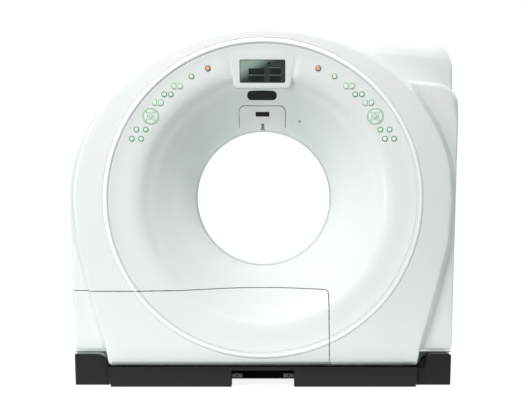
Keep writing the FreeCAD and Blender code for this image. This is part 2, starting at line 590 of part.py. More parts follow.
# ---------------------------------------------------------------- tilt frame, bearing and rotor
plate_t = tube_y("@stat_in", "@stat_out", "@stat_y", "@stat_w")
lug = cyl(88, "@stat_w", "-@pulley_x", "@stat_y", "@iso_height - @pulley_z", ALONG_Y)
arms = [box("@arm_out - @arm_in", "@arm_half + @stat_y + @stat_w", "2 * @arm_half", x0, "-@arm_half", "@iso_height - @arm_half")
        for x0 in ("-@arm_out", "@arm_in")]
posts = []
for sx in (-1, 1):
    for sz in (-1, 1):
        posts.append(cyl(14, "2 * @post_end", "%d * @post_x" % sx, "-@post_end", "@iso_height + %d * @post_z" % sz, ALONG_Y))
shaft_hole = cyl(16, 60, "-@pulley_x", "@stat_y - 10", "@iso_height - @pulley_z", ALONG_Y)
keep(cut(fuse(plate_t, lug, *(arms + posts)), shaft_hole), "tilt_frame")

keep(tube_y("@brg_cup", "@brg_out", "@brg_y", "@stat_y - @brg_y"), "main_bearing_outer")
keep(tube_y("@brg_in", "@brg_race", "@brg_y", "@brg_w"), "main_bearing_inner")
balls = []
for k in range(36):
    b = new("Part::Sphere")
    bind(b, Radius="@ball_rad")
    a = k * 10.0
    place(b, "@ball_pitch * %.6f" % math.cos(math.radians(a)), "@brg_y + @brg_w / 2",
          "@iso_height + @ball_pitch * %.6f" % math.sin(math.radians(a)))
    balls.append(b)
group = new("Part::Compound")
group.Links = balls
keep(group, "bearing_balls")

disc = tube_y("@drum_in", "@drum_out", "@drum_y", "@drum_w")
hub_ring = tube_y("@hub_in", "@hub_out", "@drum_y + @drum_w", "@hub_end - @drum_y - @drum_w")
keep(fuse(disc, hub_ring), "rotor_drum")
keep(tube_y("@slip_in", "@slip_out", "@drum_y + @drum_w", "@slip_w"), "slip_ring")
tube_body = cyl("@tube_rad", "@tube_len", 0, "@drum_y - @tube_len", "@iso_height + @tube_up", ALONG_Y)
keep(fuse(tube_body, cyl(40, 26, 0, "@drum_y - @tube_len - 26", "@iso_height + @tube_up", ALONG_Y)), "xray_tube")
keep(cut(box(220, 80, 120, -110, -40, "@iso_height + 432"), cyl("@tube_rad + 0.1", "@tube_len + 20", 0, "@drum_y - @tube_len - 10", "@iso_height + @tube_up", ALONG_Y),
         box(150, 6, 140, -75, -3, "@iso_height + 425")), "collimator")
fan_cone = prism_y([(0, "@focus_up"), (-520, "@focus_up - 1115"), (520, "@focus_up - 1115")], "-@det_half", "@drum_y + @det_half")
det = tube_y("@det_in", "@det_out", "-@det_half", "@drum_y + @det_half", "@iso_height + @focus_up")
keep(common(det, fan_cone), "detector_arc")
keep(box(170, 205, 320, -690, "@drum_y - 205", "@iso_height - 160"), "high_voltage_generator")
exch = box(150, 160, 300, 535, "@drum_y - 160", "@iso_height - 150")
fins = [box(140, 120, 6, 540, "@drum_y - 165", "@iso_height - 130 + %d" % (k * 26)) for k in range(11)]
keep(cut(exch, fuse(*[box(100, 40, 14, 560, "@drum_y - 170", "@iso_height - 136 + %d" % (k * 26)) for k in range(11)])), "heat_exchanger")

px, pz = "-@pulley_x", "@iso_height - @pulley_z"
keep(fuse(cyl("@pulley_rad", 23, px, "@drum_y + 1", pz, ALONG_Y), cyl(12, 80, px, "@drum_y + 20", pz, ALONG_Y)), "motor_pulley")
keep(cut(fuse(cyl(56, 130, px, "@stat_y + @stat_w", pz, ALONG_Y), cyl(44, 24, px, "@stat_y + @stat_w + 130", pz, ALONG_Y)),
         cyl(12.05, 60, px, "@stat_y + @stat_w - 20", pz, ALONG_Y)), "rotor_drive_motor")


def loop(r1, r2, cx, cz, y, width):
    """Taut band round two circles whose axes run along Y."""
    dist = math.hypot(cx, cz)
    base = math.atan2(cz, cx)
    swing = math.acos((r1 - r2) / dist)
    a1, a2 = base + swing, base - swing

    def at(ox, oz, r, a):
        return V(ox + r * math.cos(a), y, iso + oz + r * math.sin(a))

    edges = [Part.Arc(at(0, 0, r1, a1), at(0, 0, r1, base + math.pi), at(0, 0, r1, a2)).toShape(),
             Part.makeLine(at(0, 0, r1, a2), at(cx, cz, r2, a2)),
             Part.Arc(at(cx, cz, r2, a2), at(cx, cz, r2, base), at(cx, cz, r2, a1)).toShape(),
             Part.makeLine(at(cx, cz, r2, a1), at(0, 0, r1, a1))]
    return Part.Face(Part.Wire(edges)).extrude(V(0, width, 0))


bx, bz, by = -num("pulley_x"), -num("pulley_z"), num("drum_y") + 2
slack = 0.4
band = loop(num("drum_out") + slack + num("belt_wall"), num("pulley_rad") + slack + num("belt_wall"), bx, bz, by, num("belt_w"))
band = band.cut(loop(num("drum_out") + slack, num("pulley_rad") + slack, bx, bz, by, num("belt_w")))
belt = doc.addObject("Part::Feature", "belt_shape")
belt.Shape = band
keep(belt, "drive_belt")

# ---------------------------------------------------------------- test every object, then write
doc.removeObject("probe")
doc.recompute()
bad = [o.Name + " " + o.TypeId for o in doc.Objects if "Invalid" in o.State or "Error" in o.State]
if bad:
    raise RuntimeError("features failed: " + ", ".join(bad))
if len(set(n.Label for n in NODES)) != len(NODES):
    raise RuntimeError("two pieces share a label")
for node in NODES:
    if node.Shape.isNull() or not node.Shape.isValid() or node.Shape.Volume <= 0:
        raise RuntimeError("piece is not sound: " + node.Label)
os.makedirs("parts", exist_ok=True)
for node in NODES:
    node.Shape.exportStep(os.path.join("parts", node.Label + ".step"))
    b = node.Shape.BoundBox
    print("%-26s %2d solids %12.0f mm3  x %.1f..%.1f y %.1f..%.1f z %.1f..%.1f" % (
        node.Label, len(node.Shape.Solids), node.Shape.Volume, b.XMin, b.XMax, b.YMin, b.YMax, b.ZMin, b.ZMax))
print(len(NODES), "pieces")
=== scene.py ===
import bpy
import bmesh
import math
from bisect import bisect_left
from mathutils import Matrix, Vector


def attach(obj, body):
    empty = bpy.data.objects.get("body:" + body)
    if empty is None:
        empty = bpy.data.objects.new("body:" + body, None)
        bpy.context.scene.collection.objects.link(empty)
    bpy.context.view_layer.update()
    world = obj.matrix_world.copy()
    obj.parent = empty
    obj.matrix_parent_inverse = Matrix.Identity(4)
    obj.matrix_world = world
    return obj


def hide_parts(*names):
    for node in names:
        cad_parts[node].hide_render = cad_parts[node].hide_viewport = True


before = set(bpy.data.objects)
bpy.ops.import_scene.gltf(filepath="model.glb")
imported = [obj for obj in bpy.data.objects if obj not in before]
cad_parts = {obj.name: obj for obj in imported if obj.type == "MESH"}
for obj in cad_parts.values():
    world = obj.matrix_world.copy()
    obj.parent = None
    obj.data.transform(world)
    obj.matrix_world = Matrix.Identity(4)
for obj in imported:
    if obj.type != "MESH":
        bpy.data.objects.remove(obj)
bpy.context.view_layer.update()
sc = bpy.context.scene
MM = 0.001
ISO = 965.0

# ---------------------------------------------------------------- camera, light and stage
cam_data = bpy.data.cameras.new("camera")
cam = bpy.data.objects.new("camera", cam_data)
sc.collection.objects.link(cam)
cam.location = (0.040, -5.130, 0.965)
cam.rotation_euler = (math.radians(90), 0, 0)
cam_data.sensor_width = 36
cam_data.lens = 62.2
cam_data.shift_x = -0.0127
cam_data.shift_y = -0.0153
sc.camera = cam
sc.view_settings.view_transform = "Standard"
sc.view_settings.look = "None"
sc.view_settings.exposure = 0.0


def area(name, loc, target, w, h, power, color=(1, 1, 1)):
    d = bpy.data.lights.new(name, "AREA")
    d.shape, d.size, d.size_y, d.energy, d.color = "RECTANGLE", w, h, power, color
    o = bpy.data.objects.new(name, d)
    sc.collection.objects.link(o)
    o.location = loc
    o.rotation_euler = (Vector(target) - Vector(loc)).to_track_quat("-Z", "Y").to_euler()
    return o


LIGHTS = [
    ("key_light", (-1.0, -3.4, 5.0), (0.0, -0.3, 1.0), 2.0, 1.6, 218.0, (1.0, 0.975, 0.97)),
    ("left_key", (-3.6, -4.6, 4.2), (0.2, -0.3, 1.0), 2.6, 2.2, 24.0, (1.0, 0.96, 0.95)),
    ("left_far", (-4.8, -3.6, 1.0), (0.2, -0.3, 0.9), 1.2, 1.2, 62.0, (0.98, 1.0, 1.0)),
    ("floor_left", (-2.6, -2.2, 0.05), (0.0, -0.3, 1.3), 1.8, 1.8, 8.0, (1.0, 1.0, 1.0)),
    ("right_rim", (4.4, 0.9, 4.0), (0.6, -0.3, 1.3), 1.6, 1.6, 50.0, (1.0, 1.0, 1.0)),
    ("back_top", (0.6, 1.6, 4.8), (0.2, -0.1, 1.3), 2.4, 1.2, 32.0, (1.0, 1.0, 1.0)),
]
for row in LIGHTS:
    area(*row)

world = bpy.data.worlds.new("studio")
sc.world = world
world.use_nodes = True
bg = world.node_tree.nodes["Background"]
bg.inputs["Color"].default_value = (0.91, 1.0, 0.98, 1)
bg.inputs["Strength"].default_value = 0.36


# ---------------------------------------------------------------- materials
def material(name, color, rough=0.4, metal=0.0, coat=0.0, bump=0.0, bump_scale=300.0, vary=0.04, vary_scale=3.0,
             stretch=(1, 1, 1), rough_vary=0.06, spec=0.5):
    m = bpy.data.materials.new(name)
    m.use_nodes = True
    nt = m.node_tree
    b = nt.nodes["Principled BSDF"]
    b.inputs["Roughness"].default_value = rough
    b.inputs["Metallic"].default_value = metal
    b.inputs["Coat Weight"].default_value = coat
    b.inputs["Coat Roughness"].default_value = 0.12
    b.inputs["Specular IOR Level"].default_value = spec
    tc = nt.nodes.new("ShaderNodeTexCoord")
    mp = nt.nodes.new("ShaderNodeMapping")
    mp.inputs["Scale"].default_value = stretch
    nt.links.new(tc.outputs["Object"], mp.inputs["Vector"])
    n1 = nt.nodes.new("ShaderNodeTexNoise")
    n1.inputs["Scale"].default_value = vary_scale
    n1.inputs["Detail"].default_value = 3
    nt.links.new(mp.outputs["Vector"], n1.inputs["Vector"])
    ramp = nt.nodes.new("ShaderNodeValToRGB")
    lo = [max(0.0, c * (1 - vary)) for c in color]
    hi = [min(1.0, c * (1 + vary * 0.6)) for c in color]
    ramp.color_ramp.elements[0].position = 0.3
    ramp.color_ramp.elements[1].position = 0.7
    ramp.color_ramp.elements[0].color = (*lo, 1)
    ramp.color_ramp.elements[1].color = (*hi, 1)
    nt.links.new(n1.outputs["Fac"], ramp.inputs["Fac"])
    nt.links.new(ramp.outputs["Color"], b.inputs["Base Color"])
    if rough_vary:
        mr = nt.nodes.new("ShaderNodeMapRange")
        mr.inputs["To Min"].default_value = max(0.02, rough - rough_vary)
        mr.inputs["To Max"].default_value = min(1.0, rough + rough_vary)
        n2 = nt.nodes.new("ShaderNodeTexNoise")
        n2.inputs["Scale"].default_value = vary_scale * 4
        n2.inputs["Detail"].default_value = 4
        nt.links.new(mp.outputs["Vector"], n2.inputs["Vector"])
        nt.links.new(n2.outputs["Fac"], mr.inputs["Value"])
        nt.links.new(mr.outputs["Result"], b.inputs["Roughness"])
    if bump:
        n3 = nt.nodes.new("ShaderNodeTexNoise")
        n3.inputs["Scale"].default_value = bump_scale
        n3.inputs["Detail"].default_value = 2
        nt.links.new(mp.outputs["Vector"], n3.inputs["Vector"])
        bn = nt.nodes.new("ShaderNodeBump")
        bn.inputs["Strength"].default_value = bump
        bn.inputs["Distance"].default_value = 0.001
        nt.links.new(n3.outputs["Fac"], bn.inputs["Height"])
        nt.links.new(bn.outputs["Normal"], b.inputs["Normal"])
    return m


M_COVER = material("cover_white", (0.80, 0.84, 0.828), 0.42, coat=0.12, bump=0.05, bump_scale=700, vary=0.012, vary_scale=1.3, rough_vary=0.04)
# bead trim: white with a little emission, a painted glow that stands in for the highlight along its crest
M_BEAD_GLOW = material("bead_white", (0.90, 0.925, 0.935), 0.13, coat=0.7, vary=0.01, rough_vary=0.03)
M_BEAD_GLOW.node_tree.nodes["Principled BSDF"].inputs["Emission Color"].default_value = (1.0, 1.0, 1.0, 1.0)
M_BEAD_GLOW.node_tree.nodes["Principled BSDF"].inputs["Emission Strength"].default_value = 0.10
M_CAP = material("cap_white", (0.82, 0.845, 0.835), 0.34, coat=0.2, bump=0.04, bump_scale=700, vary=0.012, rough_vary=0.04)
M_BLACK = material("base_black", (0.009, 0.0098, 0.0094), 0.5, bump=0.22, bump_scale=900, vary=0.12, vary_scale=5, rough_vary=0.07, spec=0.3)
M_FRAME = material("frame_grey", (0.20, 0.225, 0.215), 0.5, bump=0.15, bump_scale=500, vary=0.08, vary_scale=6)
M_BRACKET = material("bracket_grey", (0.055, 0.058, 0.057), 0.4, metal=0.3, bump=0.1, bump_scale=500, vary=0.1)
M_STEEL = material("bright_steel", (0.55, 0.56, 0.57), 0.28, metal=1.0, bump=0.08, bump_scale=200, stretch=(1, 12, 1), vary=0.06)
M_ALLOY = material("cast_alloy", (0.62, 0.63, 0.64), 0.42, metal=1.0, bump=0.3, bump_scale=260, vary=0.07)
M_BRASS = material("slip_brass", (0.72, 0.55, 0.25), 0.25, metal=1.0, bump=0.05, stretch=(1, 30, 1), vary=0.05)
M_RUBBER = material("belt_rubber", (0.02, 0.02, 0.02), 0.75, bump=0.3, bump_scale=600, vary=0.15)
M_MOTOR = material("motor_grey", (0.12, 0.125, 0.13), 0.45, bump=0.2, bump_scale=400, vary=0.08)
M_TUBE = material("tube_grey", (0.36, 0.38, 0.4), 0.38, bump=0.12, bump_scale=400, vary=0.06)
M_CASE = material("case_pale", (0.42, 0.45, 0.43), 0.42, bump=0.15, bump_scale=400, vary=0.06)
M_FAN = material("fan_black", (0.02, 0.02, 0.022), 0.4, bump=0.1, vary=0.1)
M_GUARD = material("guard_grey", (0.25, 0.26, 0.26), 0.35, metal=0.6, vary=0.06)
M_RING = material("scan_film", (0.60, 0.64, 0.635), 0.6, vary=0.015, spec=0.15)
# painted shade: bluish grey on the bead's inner flank, where the shadow under its crest falls
M_FLANK_SHADE = material("bead_flank", (0.66, 0.71, 0.72), 0.3, vary=0.01)
# cover white with emission: a painted glow on the strips under the covers' lower edges, which sit in shade
M_RIM_GLOW = material("rim_white", (0.80, 0.84, 0.828), 0.4, vary=0.01)
M_RIM_GLOW.node_tree.nodes["Principled BSDF"].inputs["Emission Color"].default_value = (1.0, 1.0, 1.0, 1.0)
M_RIM_GLOW.node_tree.nodes["Principled BSDF"].inputs["Emission Strength"].default_value = 0.34
M_GREEN = material("key_green", (0.06, 0.34, 0.11), 0.35, vary=0.06, vary_scale=60)
M_PALE_GREEN = material("key_green_pale", (0.16, 0.46, 0.21), 0.35, vary=0.05, vary_scale=60)
M_KEY = material("key_white", (0.86, 0.90, 0.87), 0.34, coat=0.15, vary=0.02, vary_scale=40)
M_ORANGE = material("key_orange", (0.92, 0.40, 0.27), 0.3, coat=0.4, vary=0.08, vary_scale=80)
M_DARKRING = material("key_dark_ring", (0.10, 0.13, 0.12), 0.35, vary=0.06, vary_scale=60)
M_WINDOW = material("window_black", (0.006, 0.006, 0.008), 0.3, vary=0.2, rough_vary=0.04, spec=0.18)
M_GASKET = material("gasket_dark", (0.04, 0.044, 0.044), 0.6, bump=0.1, vary=0.1, spec=0.3)
M_DOT = material("sensor_grey", (0.34, 0.46, 0.43), 0.45, vary=0.05)
# grey of the pod's joint line: painted shade of the step at the joint
M_POD_LINE_SHADE = material("joint_grey", (0.50, 0.55, 0.54), 0.6, vary=0.05, spec=0.3)
# near black: painted shade for openings
M_SLOT_SHADE = material("slot_dark", (0.004, 0.004, 0.004), 0.6, vary=0.2, spec=0.25)
# near black: painted shade on the plinth's top land and inside its notch
M_PLINTH_SHADE = material("gap_black", (0.002, 0.002, 0.002), 1.0, vary=0.1, spec=0.0)
# grey-green: painted shade on the foot of the front cover, where its lower edge turns under
M_FOOT_SHADE = material("edge_grey_green", (0.40, 0.45, 0.43), 0.45, bump=0.04, bump_scale=700, vary=0.012)
# block tops beside the covers: the lighter copy is painted light, the darker copy painted shade
M_LEDGE_PAINT_LIT = material("ledge_grey_green", (0.26, 0.30, 0.285), 0.6, vary=0.05, spec=0.3)
M_LEDGE_PAINT_SHADE = material("ledge_grey_dark", (0.05, 0.058, 0.055), 0.6, vary=0.05, spec=0.3)
# grey-green skirts: painted shade under the covers; the left copy is lighter as painted light, the right copy darker as
# painted shade
M_SKIRT_PAINT_LIT = material("skirt_grey_light", (0.50, 0.58, 0.55), 0.5, bump=0.05, bump_scale=700, vary=0.03)
M_SKIRT_PAINT_SHADE = material("skirt_grey_dark", (0.13, 0.155, 0.145), 0.5, bump=0.05, bump_scale=700, vary=0.03)
M_SKIRT_REAR_SHADE = material("skirt_grey_green", (0.20, 0.245, 0.23), 0.5, bump=0.05, bump_scale=700, vary=0.03)
M_MARK = material("mark_grey_green", (0.13, 0.19, 0.17), 0.45, vary=0.06)
STAGE_BACK, STAGE_CORE = 0.0, 0.86


def stage_material():
    """Pale floor and wall with a little light of their own, less of it in front of the object."""
    m = material("floor_pale", (0.35, 0.352, 0.352), 0.8, vary=0.01, vary_scale=0.5, rough_vary=0.03, spec=0.1)
    nt = m.node_tree
    b = nt.nodes["Principled BSDF"]
    tc = nt.nodes.new("ShaderNodeTexCoord")
    sp = nt.nodes.new("ShaderNodeSeparateXYZ")
    nt.links.new(tc.outputs["Object"], sp.inputs["Vector"])
    parts = []
    for near, far, strength in ((-4.0, -1.2, STAGE_BACK), (-1.55, -0.9, STAGE_CORE)):
        r = nt.nodes.new("ShaderNodeMapRange")
        r.interpolation_type = "SMOOTHSTEP"
        r.inputs["From Min"].default_value = near
        r.inputs["From Max"].default_value = far
        r.inputs["To Max"].default_value = strength
        nt.links.new(sp.outputs["Y"], r.inputs["Value"])
        parts.append(r)
    add = nt.nodes.new("ShaderNodeMath")
    nt.links.new(parts[0].outputs["Result"], add.inputs[0])
    nt.links.new(parts[1].outputs["Result"], add.inputs[1])
    # less light of its own far out to the sides
    ab = nt.nodes.new("ShaderNodeMath")
    ab.operation = "ABSOLUTE"
    nt.links.new(sp.outputs["X"], ab.inputs[0])
    wide = nt.nodes.new("ShaderNodeMath")
    wide.operation = "MULTIPLY_ADD"
    wide.inputs[1].default_value = -0.30
    nt.links.new(sp.outputs["Y"], wide.inputs[0])
    nt.links.new(ab.outputs[0], wide.inputs[2])
    side = nt.nodes.new("ShaderNodeMapRange")
    side.interpolation_type = "SMOOTHSTEP"
    side.inputs["From Min"].default_value = 1.72
    side.inputs["From Max"].default_value = 3.0
    side.inputs["To Min"].default_value = 1.0
    side.inputs["To Max"].default_value = 0.30
    nt.links.new(wide.outputs[0], side.inputs["Value"])
    mul = nt.nodes.new("ShaderNodeMath")
    mul.operation = "MULTIPLY"
    nt.links.new(add.outputs[0], mul.inputs[0])
    nt.links.new(side.outputs["Result"], mul.inputs[1])
    nt.links.new(mul.outputs[0], b.inputs["Emission Strength"])
    b.inputs["Emission Color"].default_value = (0.96, 1, 0.99, 1)
    return m


M_FLOOR = stage_material()


# ---------------------------------------------------------------- mesh tools
def build(name, verts, faces, mats, face_mats=None, sharp=35, mm=True):
    me = bpy.data.meshes.new(name)
    k = MM if mm else 1.0
    me.from_pydata([tuple(c * k for c in v) for v in verts], [], faces)
    for m in mats:
        me.materials.append(m)
    if face_mats:
        me.polygons.foreach_set("material_index", face_mats)
    me.update()
    me.shade_smooth()
    me.set_sharp_from_angle(angle=math.radians(sharp))
    ob = bpy.data.objects.new(name, me)
    sc.collection.objects.link(ob)
    return ob


def bake(ob, sharp=35):
    """Writes the modifiers into the mesh."""
    dg = bpy.context.evaluated_depsgraph_get()
    me = bpy.data.meshes.new_from_object(ob.evaluated_get(dg))
    ob.modifiers.clear()
    old = ob.data
    ob.data = me
    bpy.data.meshes.remove(old)
    me.shade_smooth()
    me.set_sharp_from_angle(angle=math.radians(sharp))
    return ob


def tidy(ob, merge=0.00002, sharp=35):
    bm = bmesh.new()
    bm.from_mesh(ob.data)
    bmesh.ops.remove_doubles(bm, verts=bm.verts, dist=merge)
    bmesh.ops.recalc_face_normals(bm, faces=bm.faces)
    bm.to_mesh(ob.data)
    bm.free()
    ob.data.shade_smooth()
    ob.data.set_sharp_from_angle(angle=math.radians(sharp))
    return ob


def shell(ob, thick, sharp=35, offset=-1.0):
    md = ob.modifiers.new("skin", "SOLIDIFY")
    md.thickness = thick * MM
    md.offset = offset
    md.use_even_offset = False
    return bake(ob, sharp)


def soften(ob, width, segments=3, angle=30, sharp=50):
    md = ob.modifiers.new("edge", "BEVEL")
    md.width = width * MM
    md.segments = segments
    md.limit_method = "ANGLE"
    md.angle_limit = math.radians(angle)
    md.harden_normals = False
    return bake(ob, sharp)


def carve(ob, cutter, op="DIFFERENCE"):
    md = ob.modifiers.new("cut", "BOOLEAN")
    md.operation = op
    md.object = cutter
    md.solver = "EXACT"
    bake(ob)
    bpy.data.objects.remove(cutter)
    return ob


def prism(name, outline, axis, a, b, mats):
    """Closed prism: outline is 2-D points, axis is the direction it is drawn along."""
    n = len(outline)
    put = {"X": lambda u, v, w: (w, u, v), "Y": lambda u, v, w: (u, w, v), "Z": lambda u, v, w: (u, v, w)}[axis]
    verts = [put(u, v, a) for u, v in outline] + [put(u, v, b) for u, v in outline]
    faces = [tuple(range(n)), tuple(range(2 * n - 1, n - 1, -1))]
    faces += [(i, (i + 1) % n, n + (i + 1) % n, n + i) for i in range(n)]
    ob = build(name, verts, faces, mats)
    return tidy(ob)


def arc_pts(cx, cy, r, a0, a1, n):
    return [(cx + r * math.cos(math.radians(a0 + (a1 - a0) * i / n)), cy + r * math.sin(math.radians(a0 + (a1 - a0) * i / n))) for i in range(n + 1)]


# ---------------------------------------------------------------- section of the dish and outlines of the covers
KD = 0.9495
FACE, BODY, BACK = -430.0, -387.0, -345.0
TAB = sorted([(800, 0), (794, 0.8), (773, 8), (727, 18), (682, 27), (640, 45), (620, 62), (603, 80), (568, 110), (538, 147), (513, 175),
              (490, 207), (460, 240), (435, 273), (412, 307), (393, 340), (383, 360), (377, 374), (375, 379.15)])
TX = [t[0] for t in TAB]
TY = [t[1] for t in TAB]


def slopes():
    d = [(TY[i + 1] - TY[i]) / (TX[i + 1] - TX[i]) for i in range(len(TX) - 1)]
    m = [d[0]]
    for i in range(1, len(TX) - 1):
        if d[i - 1] * d[i] <= 0:
            m.append(0.0)
        else:
            w1 = 2 * (TX[i + 1] - TX[i]) + TX[i] - TX[i - 1]
            w2 = TX[i + 1] - TX[i] + 2 * (TX[i] - TX[i - 1])
            m.append((w1 + w2) / (w1 / d[i - 1] + w2 / d[i]))
    m.append(0.0)
    return m


TM = slopes()


def depth(r):
    """Depth of the dish behind the face plane at radius r, in mm."""
    if r >= TX[-1]:
        return 0.0
    if r <= TX[0]:
        return TY[0] * KD
    i = max(0, bisect_left(TX, r) - 1)
    h = TX[i + 1] - TX[i]
    t = (r - TX[i]) / h
    y = ((1 + 2 * t) * (1 - t) ** 2 * TY[i] + t * (1 - t) ** 2 * h * TM[i]
         + t * t * (3 - 2 * t) * TY[i + 1] + t * t * (t - 1) * h * TM[i + 1])
    return y * KD


def soft_depth(r):
    # a light smoothing along the radius takes the last unevenness out
    w = min(14.0, max(0.0, (r - 375.5) * 0.6), max(2.0, (800.0 - r)))
    ks = (-1.0, -0.66, -0.33, 0.0, 0.33, 0.66, 1.0)
    gs = (0.3, 0.6, 0.9, 1.0, 0.9, 0.6, 0.3)
    return sum(g * depth(r + k * w) for k, g in zip(ks, gs)) / sum(gs)


def bead_rise(r):
    u = abs(r - 812.0) / 13.0
    if u < 1:
        return 7.0 * (1 - u * u) ** 0.62
    return -2.6 * math.sin(math.pi * (u - 1.0) / 0.34) if u < 1.34 else 0.0


def dish_y(r):
    return FACE + soft_depth(r) - bead_rise(r)


def dish_at(x, z):
    """Point and outward normal of the dish over (x, z) measured from the bore axis."""
    r = max(375.5, math.hypot(x, z))
    s = (dish_y(r + 0.5) - dish_y(r - 0.5))
    n = Vector((s * x / r, -1.0, s * z / r))
    n.normalize()
    return Vector((x, dish_y(r), ISO + z)), n


def catmull(pts, per=14):
    out = []
    p = [pts[0]] + list(pts) + [pts[-1]]
    for i in range(1, len(p) - 2):
        for k in range(per):
            t = k / per
            q = []
            for c in (0, 1):
                a, b, d, e = p[i - 1][c], p[i][c], p[i + 1][c], p[i + 2][c]
                q.append(0.5 * (2 * b + (d - a) * t + (2 * a - 5 * b + 4 * d - e) * t * t + (3 * b - a - 3 * d + e) * t ** 3))
            out.append(tuple(q))
    out.append(tuple(pts[-1]))
    return out


def radial(poly, n):
    """Radius of a star-shaped closed outline at n even directions."""
    ang = [math.atan2(z, x) for x, z in poly]
    res = []
    m = len(poly)
    for k in range(n):
        th = 2 * math.pi * k / n
        dx, dz = math.cos(th), math.sin(th)
        best = 0.0
        for i in range(m):
            (x1, z1), (x2, z2) = poly[i], poly[(i + 1) % m]
            ex, ez = x2 - x1, z2 - z1
            den = dx * ez - dz * ex
            if abs(den) < 1e-12:
                continue
            t = (x1 * ez - z1 * ex) / den
            u = (x1 * dz - z1 * dx) / den
            if t > 0 and -1e-9 <= u <= 1 + 1e-9:
                best = max(best, t)
        res.append(best)
    return res


def face_outline():
    side = catmull([(984.8, 0), (982, -60), (975, -130), (955, -255), (926, -360), (889, -500), (850, -640), (826, -715), (800, -838)])
    top = [(984.8 * math.cos(math.radians(a)), 883 * math.sin(math.radians(a))) for a in range(1, 180, 1)]
    low = side + arc_pts(780.0, -846.5, 17.5, 8, -90, 6)
    left = [(-x, z) for x, z in low]
    return top + left + list(reversed(low))


def body_outline(shoulder=True):
    low = [(1003, -1), (1000.6, -95), (990, -510), (984.5, -740)] + arc_pts(969.0, -775.5, 14, 0, -90, 5)
    left = [(-x, z) for x, z in low]
    right = list(reversed(low))
    oval = [(1003 * math.cos(math.radians(a * 0.5)), 900.7 * math.sin(math.radians(a * 0.5))) for a in range(0, 361)]
    if not shoulder:
        return oval + left + right
    join = [p for p in oval if not (p[0] > 700 and p[1] >= 0)]
    sh = [(1003, 0), (1020.6, 484)] + arc_pts(906.0, 487, 115, 1, 86, 14) + [(860, 606.5), (800, 613.5), (730, 621.5)]
    return sh + join + left + right


NT = 360
R_FACE = radial(face_outline(), NT)
R_BODY = radial(body_outline(), NT)
DIRS = [(math.cos(2 * math.pi * k / NT), math.sin(2 * math.pi * k / NT)) for k in range(NT)]


def ring_sheet(name, columns, mats, face_mat=None, closed=True):
    """Quad sheet from NT columns of equal point counts."""
    verts, faces, fm = [], [], []
    m = len(columns[0])
    n = len(columns)
    for c in columns:
        verts += c
    last = n if closed else n - 1
    for i in range(last):
        j = (i + 1) % n
        for k in range(m - 1):
            faces.append((i * m + k, j * m + k, j * m + k + 1, i * m + k + 1))
            fm.append(face_mat(k) if face_mat else 0)
    return build(name, verts, faces, mats, fm)


RADII = [375.4, 375.8, 376.6, 378, 380, 382.5, 385.5, 389, 393, 398, 404, 411, 419, 428, 438, 449, 461, 474, 488, 502, 516, 530, 544, 558,
         571, 583, 594, 604, 613, 622, 631, 640, 650, 661, 673, 686, 700, 714, 728, 742, 756, 769, 781, 790, 794, 795, 796, 797, 798,
         799, 799.4, 800, 801, 803, 806, 809, 812, 815, 818, 821, 823, 824, 824.6, 825, 826, 827, 828, 829, 830]
N_BEAD0, N_FLANK, N_BEAD1 = RADII.index(799), RADII.index(806), RADII.index(823)


POD_LO, POD_HI = (563.0, -375.0), (752.0, -421.0)
POD_X = -4.5


def pod_plane(z):
    t = (z - POD_LO[0]) / (POD_HI[0] - POD_LO[0])
    return POD_LO[1] + t * (POD_HI[1] - POD_LO[1])


def pod_outline(inset):
    zl, zh = 571.0 + inset, 751.0
    wl, wh = 146.5 - inset, 181.0 - inset
    r = max(4.0, 26.0 - inset)
    def side(z):
        return wl + (wh - wl) * (z - 571.0) / (zh - 571.0)
    pts = [(side(zh - 25 * i), zh - 25 * i) for i in range(5)]
    cx, cz = side(zl + r) - r, zl + r
    pts += arc_pts(cx, cz, r, 4, -90, 9)
    pts += [(cx * f, zl) for f in (0.6, 0.2, -0.2, -0.6)]
    pts += [(-x, z) for x, z in reversed(pts[:15])]
    return [(x + POD_X, z) for x, z in pts]


def pod_gap(x, z):
    """Distance of a point outside the pod's outline, negative inside it."""
    half = 146.5 + 34.5 * (z - 571.0) / 180.0
    dx = abs(x - POD_X) - half
    dz = 571.0 - z
    if z > 751.0:
        return max(dx, z - 751.0)
    if dx > -26.0 and dz > -26.0:
        return math.hypot(dx + 26.0, dz + 26.0) - 26.0
    return max(dx, dz)


def with_pod(x, y, z):
    """Lets the dish sink to the pod's plane where it would stand in front of it."""
    if z < 540 or z > 790 or abs(x) > 210:
        return y
    low = pod_plane(z) + 1.0
    if y >= low:
        return y
    t = (pod_gap(x, z) - 2.0) / 20.0
    t = min(1.0, max(0.0, t))
    t = t * t * (3 - 2 * t)
    up = min(1.0, max(0.0, (752.0 - z) / 40.0))
    return y + (low - y) * (1 - t) * up * up * (3 - 2 * up)


